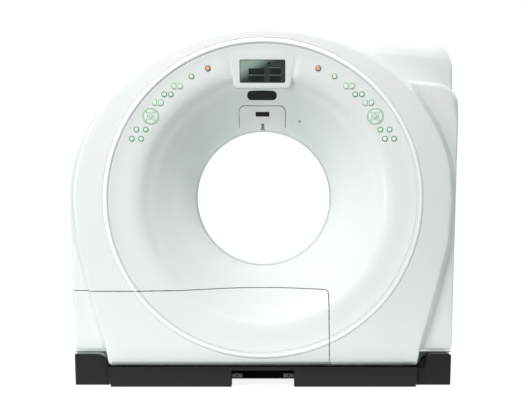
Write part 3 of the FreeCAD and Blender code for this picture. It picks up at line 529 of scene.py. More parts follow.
def face_columns(sign=-1):
    cols = []
    for k, (dx, dz) in enumerate(DIRS):
        rf, rb = R_FACE[k], R_BODY[k]
        col = [(dx * r, dish_y(r), ISO + dz * r) for r in RADII]
        if sign < 0 and dz > 0.9:
            col = [(x, with_pod(x, y, z - ISO), z) for x, y, z in col]
        deep = ISO + dz * rf < 180 and abs(dx * rf) < 815
        spare = max(0.0, min(26.0, rb - rf - 0.6)) if not deep else 2.0
        turn = 15.0 if (rb - rf > 30 and not deep) else 24.0
        if deep:
            turn = 15.0
        for f in (0.25, 0.5, 0.75):
            r = 830 + (rf - turn - 830) * f
            col.append((dx * r, FACE, ISO + dz * r))
        # rounded edge of the raised face, then the slope down to the body
        for i in range(9):
            a = math.radians(90 * i / 8 * (0.84 if not deep else 1.0))
            r = rf - turn + turn * math.sin(a)
            y = FACE + turn * (0.8 if not deep else 1.0) * (1 - math.cos(a))
            col.append((dx * r, y, ISO + dz * r))
        y1 = col[-1][1]
        r1 = rf - turn + turn * math.sin(math.radians(90 * (0.84 if not deep else 1.0)))
        for i in range(1, 8):
            t = i / 7
            e = t * t * (1.6 - 0.6 * t)
            col.append((dx * (r1 + (rf + spare - r1) * (0.35 * t + 0.65 * e)), y1 + (BODY + 0.6 - y1) * t, ISO + dz * (r1 + (rf + spare - r1) * (0.35 * t + 0.65 * e))))
        r2 = rf + spare
        col.append((dx * r2, BODY + 14, ISO + dz * r2))
        col.append((dx * r2, BACK, ISO + dz * r2))
        col.append((dx * (r2 - 5), BACK + 0.5, ISO + dz * (r2 - 5)))
        col.append((dx * (r2 - 30), BACK + 0.5, ISO + dz * (r2 - 30)))
        if sign > 0:
            col = [(x, -y, z) for x, y, z in col]
        cols.append(col)
    return cols


def body_columns(sign=-1, seam=300.0):
    cols = []
    for k, (dx, dz) in enumerate(DIRS):
        rf, rb = R_FACE[k], R_BODY[k]
        gap = rb - rf
        z_edge = ISO + dz * rb
        low = z_edge < 185
        turn = 13.0 if gap > 40 else max(3.5, min(13.0, gap * 0.22))
        if dx * rb > 700:
            up = min(1.0, max(0.0, (dz * rb - 360.0) / 170.0))
            turn += (42.0 - turn) * up * up * (3 - 2 * up)
        r_in = min(rf - 18, rb - turn - 27)
        col = [(dx * r_in, BODY, ISO + dz * r_in)]
        for f in (0.3, 0.6):
            r = r_in + (rb - turn - r_in) * f
            col.append((dx * r, BODY, ISO + dz * r))
        for i in range(7):
            a = math.radians(90 * i / 6)
            r = rb - turn + turn * math.sin(a)
            col.append((dx * r, BODY + turn * (1 - math.cos(a)), ISO + dz * r))
        back = -362.0 if low else -seam
        for f in (0.5, 1.0):
            col.append((dx * rb, BODY + turn + (back - BODY - turn) * f, ISO + dz * rb))
        if sign > 0:
            col = [(x, -y, z) for x, y, z in col]
        cols.append(col)
    return cols


def split_low(ob, name):
    """Cuts the lower left access panel out of a front sheet and leaves the joint gap."""
    xr, zt, rad, half = 342.0, ISO - 481.0, 20.0, 2.2

    def planes(off):
        ps = [((0, 0, zt - off), (0, 0, 1)), ((xr - off, 0, 0), (1, 0, 0))]
        cx, cz = xr - rad, zt - rad
        for a in (18, 36, 54, 72):
            nx, nz = math.cos(math.radians(a)), math.sin(math.radians(a))
            rr = rad - off
            ps.append(((cx + nx * rr, 0, cz + nz * rr), (nx, 0, nz)))
        return ps

    def inside(c, off):
        return all((Vector(c) / MM - Vector(p)).dot(Vector(nrm)) < 0 for p, nrm in planes(off))

    out = []
    for keep_in, off in ((True, half), (False, -half)):
        bm = bmesh.new()
        bm.from_mesh(ob.data)
        for p, nrm in planes(off):
            near = [f for f in bm.faces if -40 * MM < min((v.co - Vector(p) * MM).dot(Vector(nrm)) for v in f.verts) < 0.0005
                    or -0.0005 < max((v.co - Vector(p) * MM).dot(Vector(nrm)) for v in f.verts) < 40 * MM]
            if nrm[0] not in (0, 1) or True:
                near = [f for f in near if f.calc_center_median().x < (xr + 60) * MM and f.calc_center_median().z < (zt + 60) * MM]
            geom = list(near) + list({e for f in near for e in f.edges}) + list({v for f in near for v in f.verts})
            bmesh.ops.bisect_plane(bm, geom=geom, dist=1e-6, plane_co=Vector(p) * MM, plane_no=Vector(nrm), clear_inner=False, clear_outer=False)
        kill = [f for f in bm.faces if inside(f.calc_center_median(), off) != keep_in]
        bmesh.ops.delete(bm, geom=kill, context="FACES")
        me = bpy.data.meshes.new(name)
        bm.to_mesh(me)
        bm.free()
        for m in ob.data.materials:
            me.materials.append(m)
        me.shade_smooth()
        me.set_sharp_from_angle(angle=math.radians(35))
        o = bpy.data.objects.new(name if keep_in else ob.name, me)
        sc.collection.objects.link(o)
        out.append(o)
    old = ob.name
    bpy.data.objects.remove(ob)
    out[1].name = old
    return out


def facing(ob, sign):
    """Turns an open sheet so that its outside looks along sign * Y."""
    bm = bmesh.new()
    bm.from_mesh(ob.data)
    if sum(f.normal.y * f.calc_area() for f in bm.faces) * sign < 0:
        bmesh.ops.reverse_faces(bm, faces=bm.faces)
    bm.to_mesh(ob.data)
    bm.free()
    return ob


# rows on the bead's inner flank get the painted shade, the crest rows get the glowing bead white
def bead_mat(k):
    if N_BEAD0 <= k < N_FLANK:
        return 2
    return 1 if N_FLANK <= k < N_BEAD1 else 0


def mounted(ob, body, slot, *nodes):
    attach(ob, body)
    if nodes:
        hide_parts(*nodes)
    return ob


# ---------------------------------------------------------------- front and rear covers
face = ring_sheet("front_face", face_columns(), [M_COVER, M_BEAD_GLOW, M_FLANK_SHADE], bead_mat)
low_face, up_face = split_low(face, "lower_panel_face")
body_f = ring_sheet("front_surround", body_columns(), [M_COVER])
low_body, up_body = split_low(body_f, "lower_panel_side")
for ob in (low_face, up_face, low_body, up_body):
    shell(facing(ob, -1), 4.0)
mounted(up_face, "gantry", "cover_white", "front_cover")
mounted(up_body, "gantry", "cover_white", "front_cover")
mounted(low_face, "gantry", "cover_white", "lower_front_panel")
mounted(low_body, "gantry", "cover_white", "lower_front_panel")
# grey band along the foot of the raised face, painted shade where the cover's lower edge turns under, in two lengths
# that meet at the seam of the lower panel
FOOT_Y = min(v.co.y for v in low_face.data.vertices if v.co.z < 135 * MM and abs(v.co.x) < 600 * MM) / MM
for name, x0, x1, node in (("foot_band_left", -778.0, 352.5, "lower_front_panel"), ("foot_band_right", 355.0, 790.0, "front_cover")):
    band = prism(name, [(x0, 106.5), (x1, 106.5), (x1, 121.6), (x0, 121.6)], "Y", max(FOOT_Y - 0.5, -469.6), FOOT_Y + 8.0, [M_FOOT_SHADE])
    mounted(soften(band, 0.4, 1, 40, 50), "gantry", "cover_white", node)

rear = ring_sheet("rear_face", face_columns(1), [M_COVER, M_BEAD_GLOW, M_FLANK_SHADE], bead_mat)
rear_body = ring_sheet("rear_surround", body_columns(1), [M_COVER])
for ob in (rear, rear_body):
    tidy(ob)
    shell(facing(ob, 1), 4.0)
    mounted(ob, "gantry", "cover_white", "rear_cover")


# ---------------------------------------------------------------- side covers
def side_cover(name, right):
    k0 = NT // 4
    order = [(k0 - i) % NT for i in range(NT // 2 + 60)] if right else [(k0 + i) % NT for i in range(NT // 2 + 60)]
    cols = []
    for i, k in enumerate(order):
        dx, dz = DIRS[k]
        rb = R_BODY[k]
        x, z = dx * rb, ISO + dz * rb
        if i == 0:
            x = 1.6 if right else -1.6
        if z < 189 and abs(x) < 960:
            break
        cols.append([(x, y, z) for y in (-296.0, -290.0, -150.0, 0.0, 150.0, 290.0, 296.0)])
    ex = cols[-1]
    cols.append([((x - 14 if right else x + 14), y, 176.2) for x, y, z in ex])
    ob = ring_sheet(name, cols, [M_COVER], closed=False)
    bm = bmesh.new()
    bm.from_mesh(ob.data)
    out = sum((f.normal.dot(Vector((f.calc_center_median().x, 0, f.calc_center_median().z - 0.965)))) for f in bm.faces)
    if out < 0:
        bmesh.ops.reverse_faces(bm, faces=bm.faces)
    bm.to_mesh(ob.data)
    bm.free()
    return shell(ob, 4.5)


mounted(side_cover("left_side_shell", False), "gantry", "cover_white", "left_side_cover")
mounted(side_cover("right_side_shell", True), "gantry", "cover_white", "right_side_cover")


# ---------------------------------------------------------------- upper rear hood
def hood_outline(side, drop):
    w, up, rad = 1024.0 - side, 852.0, 95.0 - 0.5 * side
    pts = [(w, 528.0), (w, 640.0)]
    pts += arc_pts(w - rad, up - rad, rad, 0, 88, 16)
    pts += [(880.0, up + 6.0), (820.0, up + 11.0), (700.0, up + 18.5), (600.0, up + 24.0), (500.0, up + 29.5), (420.0, up + 31.5), (304.0, up + 31.5)]
    pts = [(x, 528.0 + (z - 528.0) * (up + 32.0 - drop - 528.0) / (up + 32.0 - 528.0)) for x, z in pts]
    return pts + [(304.0, 528.0)]


def hood():
    front, rear_y, side_r, small = -193.0, 386.8, 15.0, 18.0
    top_d, top_h, lead = 132.0, 102.0, math.radians(16)
    secs = []
    for i in range(17):
        a = lead + (math.pi / 2 - lead) * i / 16
        d = top_d * (math.cos(lead) - math.cos(a)) / math.cos(lead)
        drop = top_h * (1 - math.sin(a)) / (1 - math.sin(lead))
        side = side_r - math.sqrt(max(0.0, side_r ** 2 - (side_r - d) ** 2)) if d < side_r else 0.0
        secs.append((side, drop, front + d))
    # the side turns quickly, so its sections are set closer together
    extra = []
    for f in (0.04, 0.12, 0.25, 0.42, 0.62, 0.82, 1.0):
        d = side_r * f
        c = math.cos(lead) * (1 - d / top_d)
        drop = top_h * (1 - math.sqrt(1 - c * c)) / (1 - math.sin(lead))
        extra.append((side_r - math.sqrt(max(0.0, side_r ** 2 - (side_r - d) ** 2)), drop, front + d))
    secs = sorted([q for q in secs if q[2] - front > side_r + 1.0 or q[2] == front] + extra, key=lambda q: q[2])
    secs.append((0.0, 0.0, 60.0))
    secs.append((0.0, 0.0, 200.0))
    for i in range(7):
        a = math.radians(90 * i / 6)
        t = small * (1 - math.cos(a))
        secs.append((t, t, rear_y - small + small * math.sin(a)))
    rows = [[(x, y, ISO + z) for x, z in hood_outline(side, drop)] for side, drop, y in secs]
    n = len(rows[0])
    verts = [p for r in rows for p in r]
    faces = []
    for i in range(len(rows) - 1):
        for k in range(n - 1):
            faces.append((i * n + k, i * n + k + 1, (i + 1) * n + k + 1, (i + 1) * n + k))
    faces.append(tuple(range(n - 1, -1, -1)))
    faces.append(tuple(range((len(rows) - 1) * n, len(rows) * n)))
    ob = build("rear_hood_shell", verts, faces, [M_COVER], sharp=50)
    tidy(ob, sharp=50)
    cutter = prism("vent_cut", arc_pts(880, ISO + 738, 82, 0, 352.5, 47), "Y", 360, 400, [M_SLOT_SHADE])
    carve(ob, cutter)
    return tidy(ob, sharp=40)


mounted(hood(), "gantry", "cover_white", "upper_rear_hood")


# ---------------------------------------------------------------- pieces that follow the dish
def on_dish(name, outline, layers, mats, layer_mats=None, centre=None, sharp=40, cap_mat=None):
    """Lays a closed outline on the dish.  Each layer is (inset, height above the surface); the last one is closed."""
    cx = sum(p[0] for p in outline) / len(outline) if centre is None else centre[0]
    cz = sum(p[1] for p in outline) / len(outline) if centre is None else centre[1]
    n = len(outline)
    norm = []
    for i in range(n):
        a, b = outline[i - 1], outline[(i + 1) % n]
        tx, tz = b[0] - a[0], b[1] - a[1]
        ln = math.hypot(tx, tz) or 1.0
        nx, nz = tz / ln, -tx / ln
        if nx * (outline[i][0] - cx) + nz * (outline[i][1] - cz) < 0:
            nx, nz = -nx, -nz
        norm.append((nx, nz))
    verts, faces, fm = [], [], []
    for inset, h in layers:
        for (x, z), (nx, nz) in zip(outline, norm):
            p, nn = dish_at(x - nx * inset, z - nz * inset)
            verts.append(tuple(p + nn * h))
    for j in range(len(layers) - 1):
        for i in range(n):
            faces.append((j * n + i, j * n + (i + 1) % n, (j + 1) * n + (i + 1) % n, (j + 1) * n + i))
            fm.append(layer_mats[j] if layer_mats else 0)
    # inner rings keep the closing face on the curved surface
    base = (len(layers) - 1) * n
    inset, h = layers[-1]
    rings = 5
    for q in range(1, rings + 1):
        f = 1 - q / (rings + 1)
        for (x, z), (nx, nz) in zip(outline, norm):
            px, pz = x - nx * inset, z - nz * inset
            p, nn = dish_at(cx + (px - cx) * f, cz + (pz - cz) * f)
            verts.append(tuple(p + nn * h))
        for i in range(n):
            o = base + (q - 1) * n
            faces.append((o + i, o + (i + 1) % n, o + n + (i + 1) % n, o + n + i))
            fm.append(cap_mat if cap_mat is not None else (layer_mats[-1] if layer_mats else 0))
    p, nn = dish_at(cx, cz)
    verts.append(tuple(p + nn * h))
    o = base + rings * n
    for i in range(n):
        faces.append((o + i, o + (i + 1) % n, len(verts) - 1))
        fm.append(cap_mat if cap_mat is not None else (layer_mats[-1] if layer_mats else 0))
    faces.append(tuple(range(n)))
    fm.append(0)
    ob = build(name, verts, faces, mats, fm, sharp)
    return tidy(ob, sharp=sharp)


def circle(cx, cz, r, n=40):
    return [(cx + r * math.cos(2 * math.pi * i / n), cz + r * math.sin(2 * math.pi * i / n)) for i in range(n)]


def stadium(cx, cz, w, h, n=14):
    s = (w - h) / 2
    return arc_pts(cx + s, cz, h / 2, -90, 90, n) + arc_pts(cx - s, cz, h / 2, 90, 270, n)


def rounded(x0, x1, z0, z1, r_low, r_high, n=8, steps=10):
    pts = []
    for cx, cz, r, a in ((x1 - r_high, z1 - r_high, r_high, 90), (x0 + r_high, z1 - r_high, r_high, 180), (x0 + r_low, z0 + r_low, r_low, 270), (x1 - r_low, z0 + r_low, r_low, 360)):
        pts += arc_pts(cx, cz, r, a - 90, a, n)
    out = []
    m = len(pts)
    for i in range(m):
        a, b = pts[i], pts[(i + 1) % m]
        k = max(1, int(math.hypot(b[0] - a[0], b[1] - a[1]) / steps))
        for j in range(k):
            out.append((a[0] + (b[0] - a[0]) * j / k, a[1] + (b[1] - a[1]) * j / k))
    return out


# sensor window: a dark curved pane in a thin dark rim, both set on the dish
pane = on_dish("sensor_pane", stadium(-6, 542.2, 153.5, 40.5, 24), [(0, -3.0), (0, 0.6), (0.8, 1.3), (2.5, 1.5)], [M_WINDOW])
mounted(pane, "gantry", "window_dark", "sensor_window")
rim = on_dish("sensor_rim", stadium(-6, 542.2, 157.5, 44.5, 24), [(0, -4.0), (0, 0.15), (0.5, 0.55), (2.4, 0.6)], [M_GASKET])
mounted(rim, "gantry", "window_dark")


# cap above the bore with its slot
CAP_X = -5.0


def cap_piece():
    half = 124.0
    low_z = math.sqrt(376.5 ** 2 - half ** 2)
    top = rounded(-half, half, 300, 493, 2, 33, 10, 9)
    pts = [(x, z) for x, z in top if z > low_z + 6]
    # order the points from the lower left, over the top, to the lower right
    pts.sort(key=lambda p: math.atan2(p[1] - 400, p[0]) if p[1] > 400 else (-1 if p[0] > 0 else 4))
    right = sorted([p for p in pts if p[0] >= 0], key=lambda p: (round(p[1], 3), -p[0]))
    left = sorted([p for p in pts if p[0] < 0], key=lambda p: (-round(p[1], 3), -p[0]))
    arc = [(376.6 * math.sin(math.radians(a)), 376.6 * math.cos(math.radians(a))) for a in
           [-math.degrees(math.asin(half / 376.6)) + 2 * math.degrees(math.asin(half / 376.6)) * i / 26 for i in range(27)]]
    return [(x + CAP_X, z if z > 377 else math.sqrt(376.6 ** 2 - (x + CAP_X) ** 2)) for x, z in right + left + arc]


CAP = cap_piece()
cap = on_dish("bore_cap_shell", CAP, [(0, 0.2), (0, 1.9), (0.5, 2.7), (1.8, 3.0)], [M_CAP, M_GASKET], [0, 0, 0], centre=(0, 430))
mounted(cap, "gantry", "cap_white", "bore_top_cap")
line = on_dish("bore_cap_joint", [(CAP_X + (x - CAP_X) * 1.02, 400 + (z - 400) * 1.022) for x, z in CAP if z > 366], [(0, -1.0), (0, 0.12), (0.3, 0.2)], [M_GASKET], centre=(0, 430))
mounted(line, "gantry", "cap_white")
# near-black patch in the cap: painted shade of the slot's opening
slot_p = on_dish("cap_slot", rounded(-42, 33, 443.5, 466, 2.5, 2.5, 4, 8), [(0, 1.5), (0, 3.25), (0.4, 3.3)], [M_SLOT_SHADE])
mounted(slot_p, "gantry", "window_dark")
lip = on_dish("cap_slot_lip", rounded(-47, 39, 432.5, 443.3, 1.5, 1.5, 4, 8), [(0, 1.5), (0, 3.9), (1.2, 4.6)], [M_CAP])
mounted(lip, "gantry", "cap_white")
mark = on_dish("cap_mark", rounded(-11, 4, 385, 409, 1.5, 1.5, 4, 6), [(0, 1.5), (0, 3.2), (0.3, 3.3)], [M_MARK])
mounted(mark, "gantry", "window_dark")
foot = on_dish("cap_mark_foot", rounded(-15, 11, 379, 384.5, 1.5, 1.5, 4, 6), [(0, 1.5), (0, 3.2), (0.3, 3.3)], [M_MARK])
mounted(foot, "gantry", "window_dark")
dot = on_dish("small_sensor", circle(197, 413.5, 7.2, 24), [(0, -1.0), (0, 0.6), (1.2, 1.0)], [M_DOT])
mounted(dot, "gantry", "window_dark")


# ---------------------------------------------------------------- display in its pod
def pod():
    rows = []
    for inset, drop in ((0.0, 70.0), (0.0, 4.2), (0.5, 2.6), (1.6, 1.6), (3.2, 1.2), (6.4, 1.1), (7.2, 0.6), (8.4, 0.15), (10.0, 0.0), (16.0, 0.0)):
        rows.append([(x, pod_plane(z) + drop, ISO + z) for x, z in pod_outline(inset)])
    n = len(rows[0])
    verts = [p for r in rows for p in r]
    faces = []
    for i in range(len(rows) - 1):
        for k in range(n):
            faces.append((i * n + k, i * n + (k + 1) % n, (i + 1) * n + (k + 1) % n, (i + 1) * n + k))
    faces.append(tuple(range((len(rows) - 1) * n, len(rows) * n)))
    faces.append(tuple(range(n - 1, -1, -1)))
    return tidy(build("display_pod", verts, faces, [M_COVER], sharp=50), sharp=50)


mounted(pod(), "gantry", "cover_white")


# grey strip at the pod's joint with the dish: a real joint, its grey is painted shade of the small step there
def pod_joint():
    rows = []
    for inset, drop in ((-1.8, 9.0), (-1.8, 0.6), (0.2, 0.6), (0.2, 9.0)):
        rows.append([(x, pod_plane(z) + drop, ISO + z) for x, z in pod_outline(inset)])
    n = len(rows[0])
    verts = [p for r in rows for p in r]
    faces = []
    for i in range(4):
        j = (i + 1) % 4
        for k in range(n - 1):
            faces.append((i * n + k, i * n + k + 1, j * n + k + 1, j * n + k))
    faces.append((0, n, 2 * n, 3 * n))
    faces.append((n - 1, 4 * n - 1, 3 * n - 1, 2 * n - 1))
    return tidy(build("display_pod_joint", verts, faces, [M_POD_LINE_SHADE], sharp=50), sharp=50)


mounted(pod_joint(), "gantry", "cover_white")


# ---------------------------------------------------------------- display: glass, frame and a generic read-out
def leaned(name, outline, rows_spec, mats, row_mats, cap_mat, body="gantry"):
    """Closed plate on the pod's plane: rows are (inset, height in front of the plane)."""
    cx = sum(p[0] for p in outline) / len(outline)
    cz = sum(p[1] for p in outline) / len(outline)
    w = max(p[0] for p in outline) - cx
    hgt = max(p[1] for p in outline) - cz
    verts, faces, fm = [], [], []
    n = len(outline)
    for inset, h in rows_spec:
        for x, z in outline:
            xx, zz = cx + (x - cx) * (w - inset) / w, cz + (z - cz) * (hgt - inset) / hgt
            verts.append((xx, pod_plane(zz) - h, ISO + zz))
    for j in range(len(rows_spec) - 1):
        for i in range(n):
            faces.append((j * n + i, j * n + (i + 1) % n, (j + 1) * n + (i + 1) % n, (j + 1) * n + i))
            fm.append(row_mats[j])
    faces.append(tuple(range(n)))
    fm.append(0)
    faces.append(tuple(range((len(rows_spec) - 1) * n, len(rows_spec) * n)))
    fm.append(cap_mat)
    return tidy(build(name, verts, faces, mats, fm, sharp=40), sharp=40)


def screen_material():
    """Dark grey-green glass: a paler painted sheen towards the upper left, standing in for a reflection on the glass,
    darker fields parted by pale lines.
    """
    m = bpy.data.materials.new("screen_glass")
    m.use_nodes = True
    nt = m.node_tree
    b = nt.nodes["Principled BSDF"]
    b.inputs["Roughness"].default_value = 0.3
    b.inputs["Specular IOR Level"].default_value = 0.12
    tc = nt.nodes.new("ShaderNodeTexCoord")
    sp = nt.nodes.new("ShaderNodeSeparateXYZ")
    nt.links.new(tc.outputs["Object"], sp.inputs["Vector"])

    def math_node(op, a, b2, clamp=False):
        n = nt.nodes.new("ShaderNodeMath")
        n.operation = op
        n.use_clamp = clamp
        for i, v in enumerate((a, b2)):
            if v is None:
                continue
            if isinstance(v, (int, float)):
                n.inputs[i].default_value = v
            else:
                nt.links.new(v, n.inputs[i])
        return n.outputs[0]

    # diagonal: a painted reflection, paler above a line that climbs to the right
    u = math_node("MULTIPLY", sp.outputs["X"], -0.62)
    v = math_node("ADD", u, sp.outputs["Z"])
    t = nt.nodes.new("ShaderNodeMapRange")
    t.interpolation_type = "SMOOTHSTEP"
    t.inputs["From Min"].default_value = 1.628
    t.inputs["From Max"].default_value = 1.705
    nt.links.new(v, t.inputs["Value"])
    nz = nt.nodes.new("ShaderNodeTexNoise")
    nz.inputs["Scale"].default_value = 30
    painted_sheen = nt.nodes.new("ShaderNodeMix")
    painted_sheen.data_type = "RGBA"
    painted_sheen.inputs["A"].default_value = (0.045, 0.055, 0.051, 1)
    painted_sheen.inputs["B"].default_value = (0.32, 0.41, 0.36, 1)
    nt.links.new(t.outputs["Result"], painted_sheen.inputs["Factor"])
    mul = nt.nodes.new("ShaderNodeMix")
    mul.data_type = "RGBA"
    mul.blend_type = "MULTIPLY"
    mul.inputs["Factor"].default_value = 0.12
    nt.links.new(painted_sheen.outputs["Result"], mul.inputs["A"])
    nt.links.new(nz.outputs["Color"], mul.inputs["B"])
    nt.links.new(mul.outputs["Result"], b.inputs["Base Color"])
    return m


M_SCREEN = screen_material()
M_FIELD = material("screen_field", (0.020, 0.025, 0.023), 0.45, vary=0.2, vary_scale=30, rough_vary=0.03, spec=0.05)
M_FIELD_HI = material("screen_line", (0.15, 0.175, 0.165), 0.45, vary=0.1, vary_scale=30, rough_vary=0.03, spec=0.1)
M_BEZEL = material("screen_edge", (0.030, 0.037, 0.034), 0.4, vary=0.1, vary_scale=30, rough_vary=0.03, spec=0.2)

sx0, sx1, sz0, sz1 = -121.4, 115.4, 599.5, 715.5
screen = leaned("display_glass", rounded(sx0, sx1, sz0, sz1, 7, 7, 6, 30), [(0, -4.0), (0, 0.9), (0.7, 1.5), (3.4, 1.6)], [M_BEZEL, M_SCREEN], [0, 0, 0], 1)
mounted(screen, "gantry", "screen_dark", "display_screen")
fields = [(-72, 10, 641, 671, M_FIELD), (38, 96, 641, 671, M_FIELD), (-72, 10, 604, 634, M_FIELD), (38, 96, 604, 634, M_FIELD),
          (-72, 14, 636.2, 638.6, M_FIELD_HI), (34, 96, 636.2, 638.6, M_FIELD_HI), (34, 92, 674.4, 677.0, M_FIELD_HI),
          (99.5, 102.5, 606, 611, M_FIELD_HI), (99.5, 102.5, 646, 650, M_FIELD_HI), (99.5, 102.5, 668, 671, M_FIELD_HI)]
for i, (x0, x1, z0, z1, m) in enumerate(fields):
    f = leaned("display_field_%02d" % i, rounded(x0 - 3, x1 - 3, z0, z1, 1.2, 1.2, 3, 40), [(0, 0.6), (0, 1.72), (0.2, 1.8)], [m], [0, 0], 0)
    mounted(f, "gantry", "screen_dark")
d = leaned("display_dot", circle(30, 697, 7.5, 24), [(0, 0.6), (0, 1.72), (0.2, 1.8)], [M_FIELD], [0, 0], 0)
mounted(d, "gantry", "screen_dark")


# ---------------------------------------------------------------- keys
KEYS = [("stop", 285.5, 670.3), ("upper", 370, 629), ("rocker_upper", 445, 579.5), ("mid_outer", 511, 536), ("mid_inner", 477, 536),
        ("rocker_mid", 544, 493.5), ("pad", 581, 422.7), ("pad_centre", 581, 422.7), ("low_outer", 654, 354), ("low_inner", 607, 354),
        ("bottom_outer", 678, 306.5), ("bottom_inner", 631, 306.5)]


def lens(cx, cz, ang, r_mid, w, t, n=12):
    """Lens-shaped field of the four-way pad, at angle ang round its centre."""
    pts = []
    for s in (1, -1):
        for i in range(n):
            u = -1 + 2 * i / n if s > 0 else 1 - 2 * i / n
            pts.append((u * w, r_mid + s * t * (1 - u * u) - 1.6 * u * u))
    a = math.radians(ang)
    return [(cx + x * math.cos(a) - z * math.sin(a), cz + x * math.sin(a) + z * math.cos(a)) for x, z in pts]


def half_oval(cx, cz, turn):
    """Outline of one half of a rocker: round outside, nearly straight beside the gap."""
    pts = arc_pts(14.8, 0, 15.2, -90, 90, 16) + arc_pts(8.2, 10.2, 5.0, 90, 180, 5) + arc_pts(8.2, -10.2, 5.0, 180, 270, 5)
    return [(cx + turn * x, cz + z) for x, z in pts]


def key(side, kind, kx, kz):
    sign = -1 if side == "left" else 1
    cx, cz = sign * kx, kz
    body, node = "%s_%s" % (side, kind), "%s_%s_key" % (side, kind)
    made = []
    if kind == "stop":
        made.append((on_dish(node + "_top", circle(cx, cz, 15.0, 36), [(0, -5.5), (0, 2.0), (0.5, 2.5), (3.4, 2.6), (3.8, 2.2), (4.4, 3.2), (6.0, 4.0), (8.5, 4.4)],
                             [M_DARKRING, M_ORANGE], [0, 0, 0, 0, 1, 1, 1], cap_mat=1), "key_orange"))
    elif kind.startswith("rocker"):
        made.append((on_dish(node + "_top", stadium(cx, cz, 61, 31, 16), [(0, -5.5), (0, 1.5), (0.5, 2.0), (3.9, 2.1), (4.4, 1.9), (5.2, 2.3), (6.8, 2.5)],
                             [M_KEY], [0, 0, 0, 0, 0, 0], cap_mat=0), "key_white"))
        for q, turn in enumerate((-1, 1)):
            made.append((on_dish(node + "_half_%d" % q, half_oval(cx, cz, turn), [(0, 1.8), (0, 2.9), (0.4, 3.2), (3.3, 3.2), (3.6, 2.9), (4.3, 3.3)],
                                 [M_KEY, M_PALE_GREEN], [1, 1, 1, 0, 0], cap_mat=0), "key_white"))
    elif kind == "pad":
        made.append((on_dish(node + "_top", circle(cx, cz, 42.5, 64), [(0, -5.5), (0, 1.5), (0.5, 2.0), (2.9, 2.1), (3.4, 1.9), (5.0, 2.0)],
                             [M_KEY, M_PALE_GREEN], [0, 1, 1, 0, 0], cap_mat=0), "key_white"))
        for q in range(4):
            made.append((on_dish(node + "_arm_%d" % q, lens(cx, cz, 90 * q, 26.5, 28.0, 10.2), [(0, 1.75), (0, 2.3), (0.3, 2.6), (2.3, 2.6), (2.6, 2.4), (3.4, 2.8)],
                                 [M_KEY, M_PALE_GREEN], [1, 1, 1, 0, 0], cap_mat=0), "key_white"))
        made.append((on_dish(node + "_ring", circle(cx, cz, 14.6, 40), [(0, 1.75), (0, 2.4), (0.4, 2.7), (2.0, 2.7), (2.1, 2.2)], [M_KEY, M_PALE_GREEN], [1, 1, 1, 0], cap_mat=0), "key_white"))
    else:
        r = 8.2 if kind == "pad_centre" else 14.8
        lift = 2.0 if kind == "pad_centre" else 0.0
        w = 2.4 if kind == "pad_centre" else 4.9
        made.append((on_dish(node + "_top", circle(cx, cz, r, 36), [(0, -5.5), (0, 1.6 + lift), (0.5, 2.2 + lift), (w, 2.3 + lift), (w + 0.4, 2.0 + lift), (w + 1.2, 2.6 + lift), (w + 2.0, 2.9 + lift)],
                             [M_KEY, M_GREEN], [0, 1, 1, 0, 0, 0], cap_mat=0), "key_white"))
    for i, (ob, slot) in enumerate(made):
        mounted(ob, body, slot, *([node] if i == 0 else []))


for side in ("left", "right"):
    for kind, kx, kz in KEYS:
        key(side, kind, kx, kz)


# ---------------------------------------------------------------- black floor base
def spread(stops, steps):
    """Even steps between the given stops."""
    out = [stops[0]]
    for a, b in zip(stops, stops[1:]):
        k = max(1, int(abs(b - a) / steps + 0.5))
        out += [a + (b - a) * q / k for q in range(1, k + 1)]
    return out


def at(table, x):
    if x <= table[0][0]:
        return table[0][1]
    for (x1, v1), (x2, v2) in zip(table, table[1:]):
        if x <= x2:
            return v1 + (v2 - v1) * (x - x1) / (x2 - x1)
    return table[-1][1]


def relief(name, xs, ys, top, mats, round_y=(), lean=None, corner=None):
    """Closed block whose upper side is a height over a grid; ends in round_y get a rounded upper edge."""
    verts, faces = [], []
    nx, ny = len(xs), len(ys)
    for x in xs:
        for y in ys:
            h = top(x, y)
            for y_end in round_y:
                d = abs(y - y_end)
                if d < 4.5:
                    h -= 4.5 - math.sqrt(max(0.0, 20.25 - (4.5 - d) ** 2))
            verts.append((x, y, h))
    for x in xs:
        for y in ys:
            verts.append((x, y, 0.0))
    g = nx * ny
    for i in range(nx - 1):
        for k in range(ny - 1):
            a, b = i * ny + k, (i + 1) * ny + k
            faces.append((a, b, b + 1, a + 1))
            faces.append((g + a, g + a + 1, g + b + 1, g + b))
    for i in range(nx - 1):
        for k in (0, ny - 1):
            a, b = i * ny + k, (i + 1) * ny + k
            faces.append((a, g + a, g + b, b))
    for k in range(ny - 1):
        for i in (0, nx - 1):
            a = i * ny + k
            faces.append((a, a + 1, g + a + 1, g + a))
    if corner:
        cx, r, ends = corner
        out = []
        for x, y, z in verts:
            for y_end in ends:
                sx = 1 if cx > 0 else -1
                sy = 1 if y_end > 0 else -1
                u, v = (x - (cx - sx * r)) * sx, (y - (y_end - sy * r)) * sy
                if u > 0 and v > 0:
                    d = math.hypot(u, v)
                    m = max(u, v)
                    x, y = cx - sx * r + sx * u * m / d, y_end - sy * r + sy * v * m / d
            out.append((x, y, z))
        verts = out
    if lean:
        verts = [(lean(x, z), y, z) for x, y, z in verts]
    return tidy(build(name, verts, faces, mats, sharp=38), sharp=38)


EDGE_Y = [-419.8, -419.5, -418.8, -417.6, -415.3]
LONG_Y = EDGE_Y + spread([-415.3, -388, -366], 6)[1:] + spread([-366, 366], 16)[1:] + spread([366, 388, 415.3], 6)[1:] + [-y for y in reversed(EDGE_Y)][1:]


def cradle(rad, y):
    return ISO - math.sqrt(rad * rad - y * y)


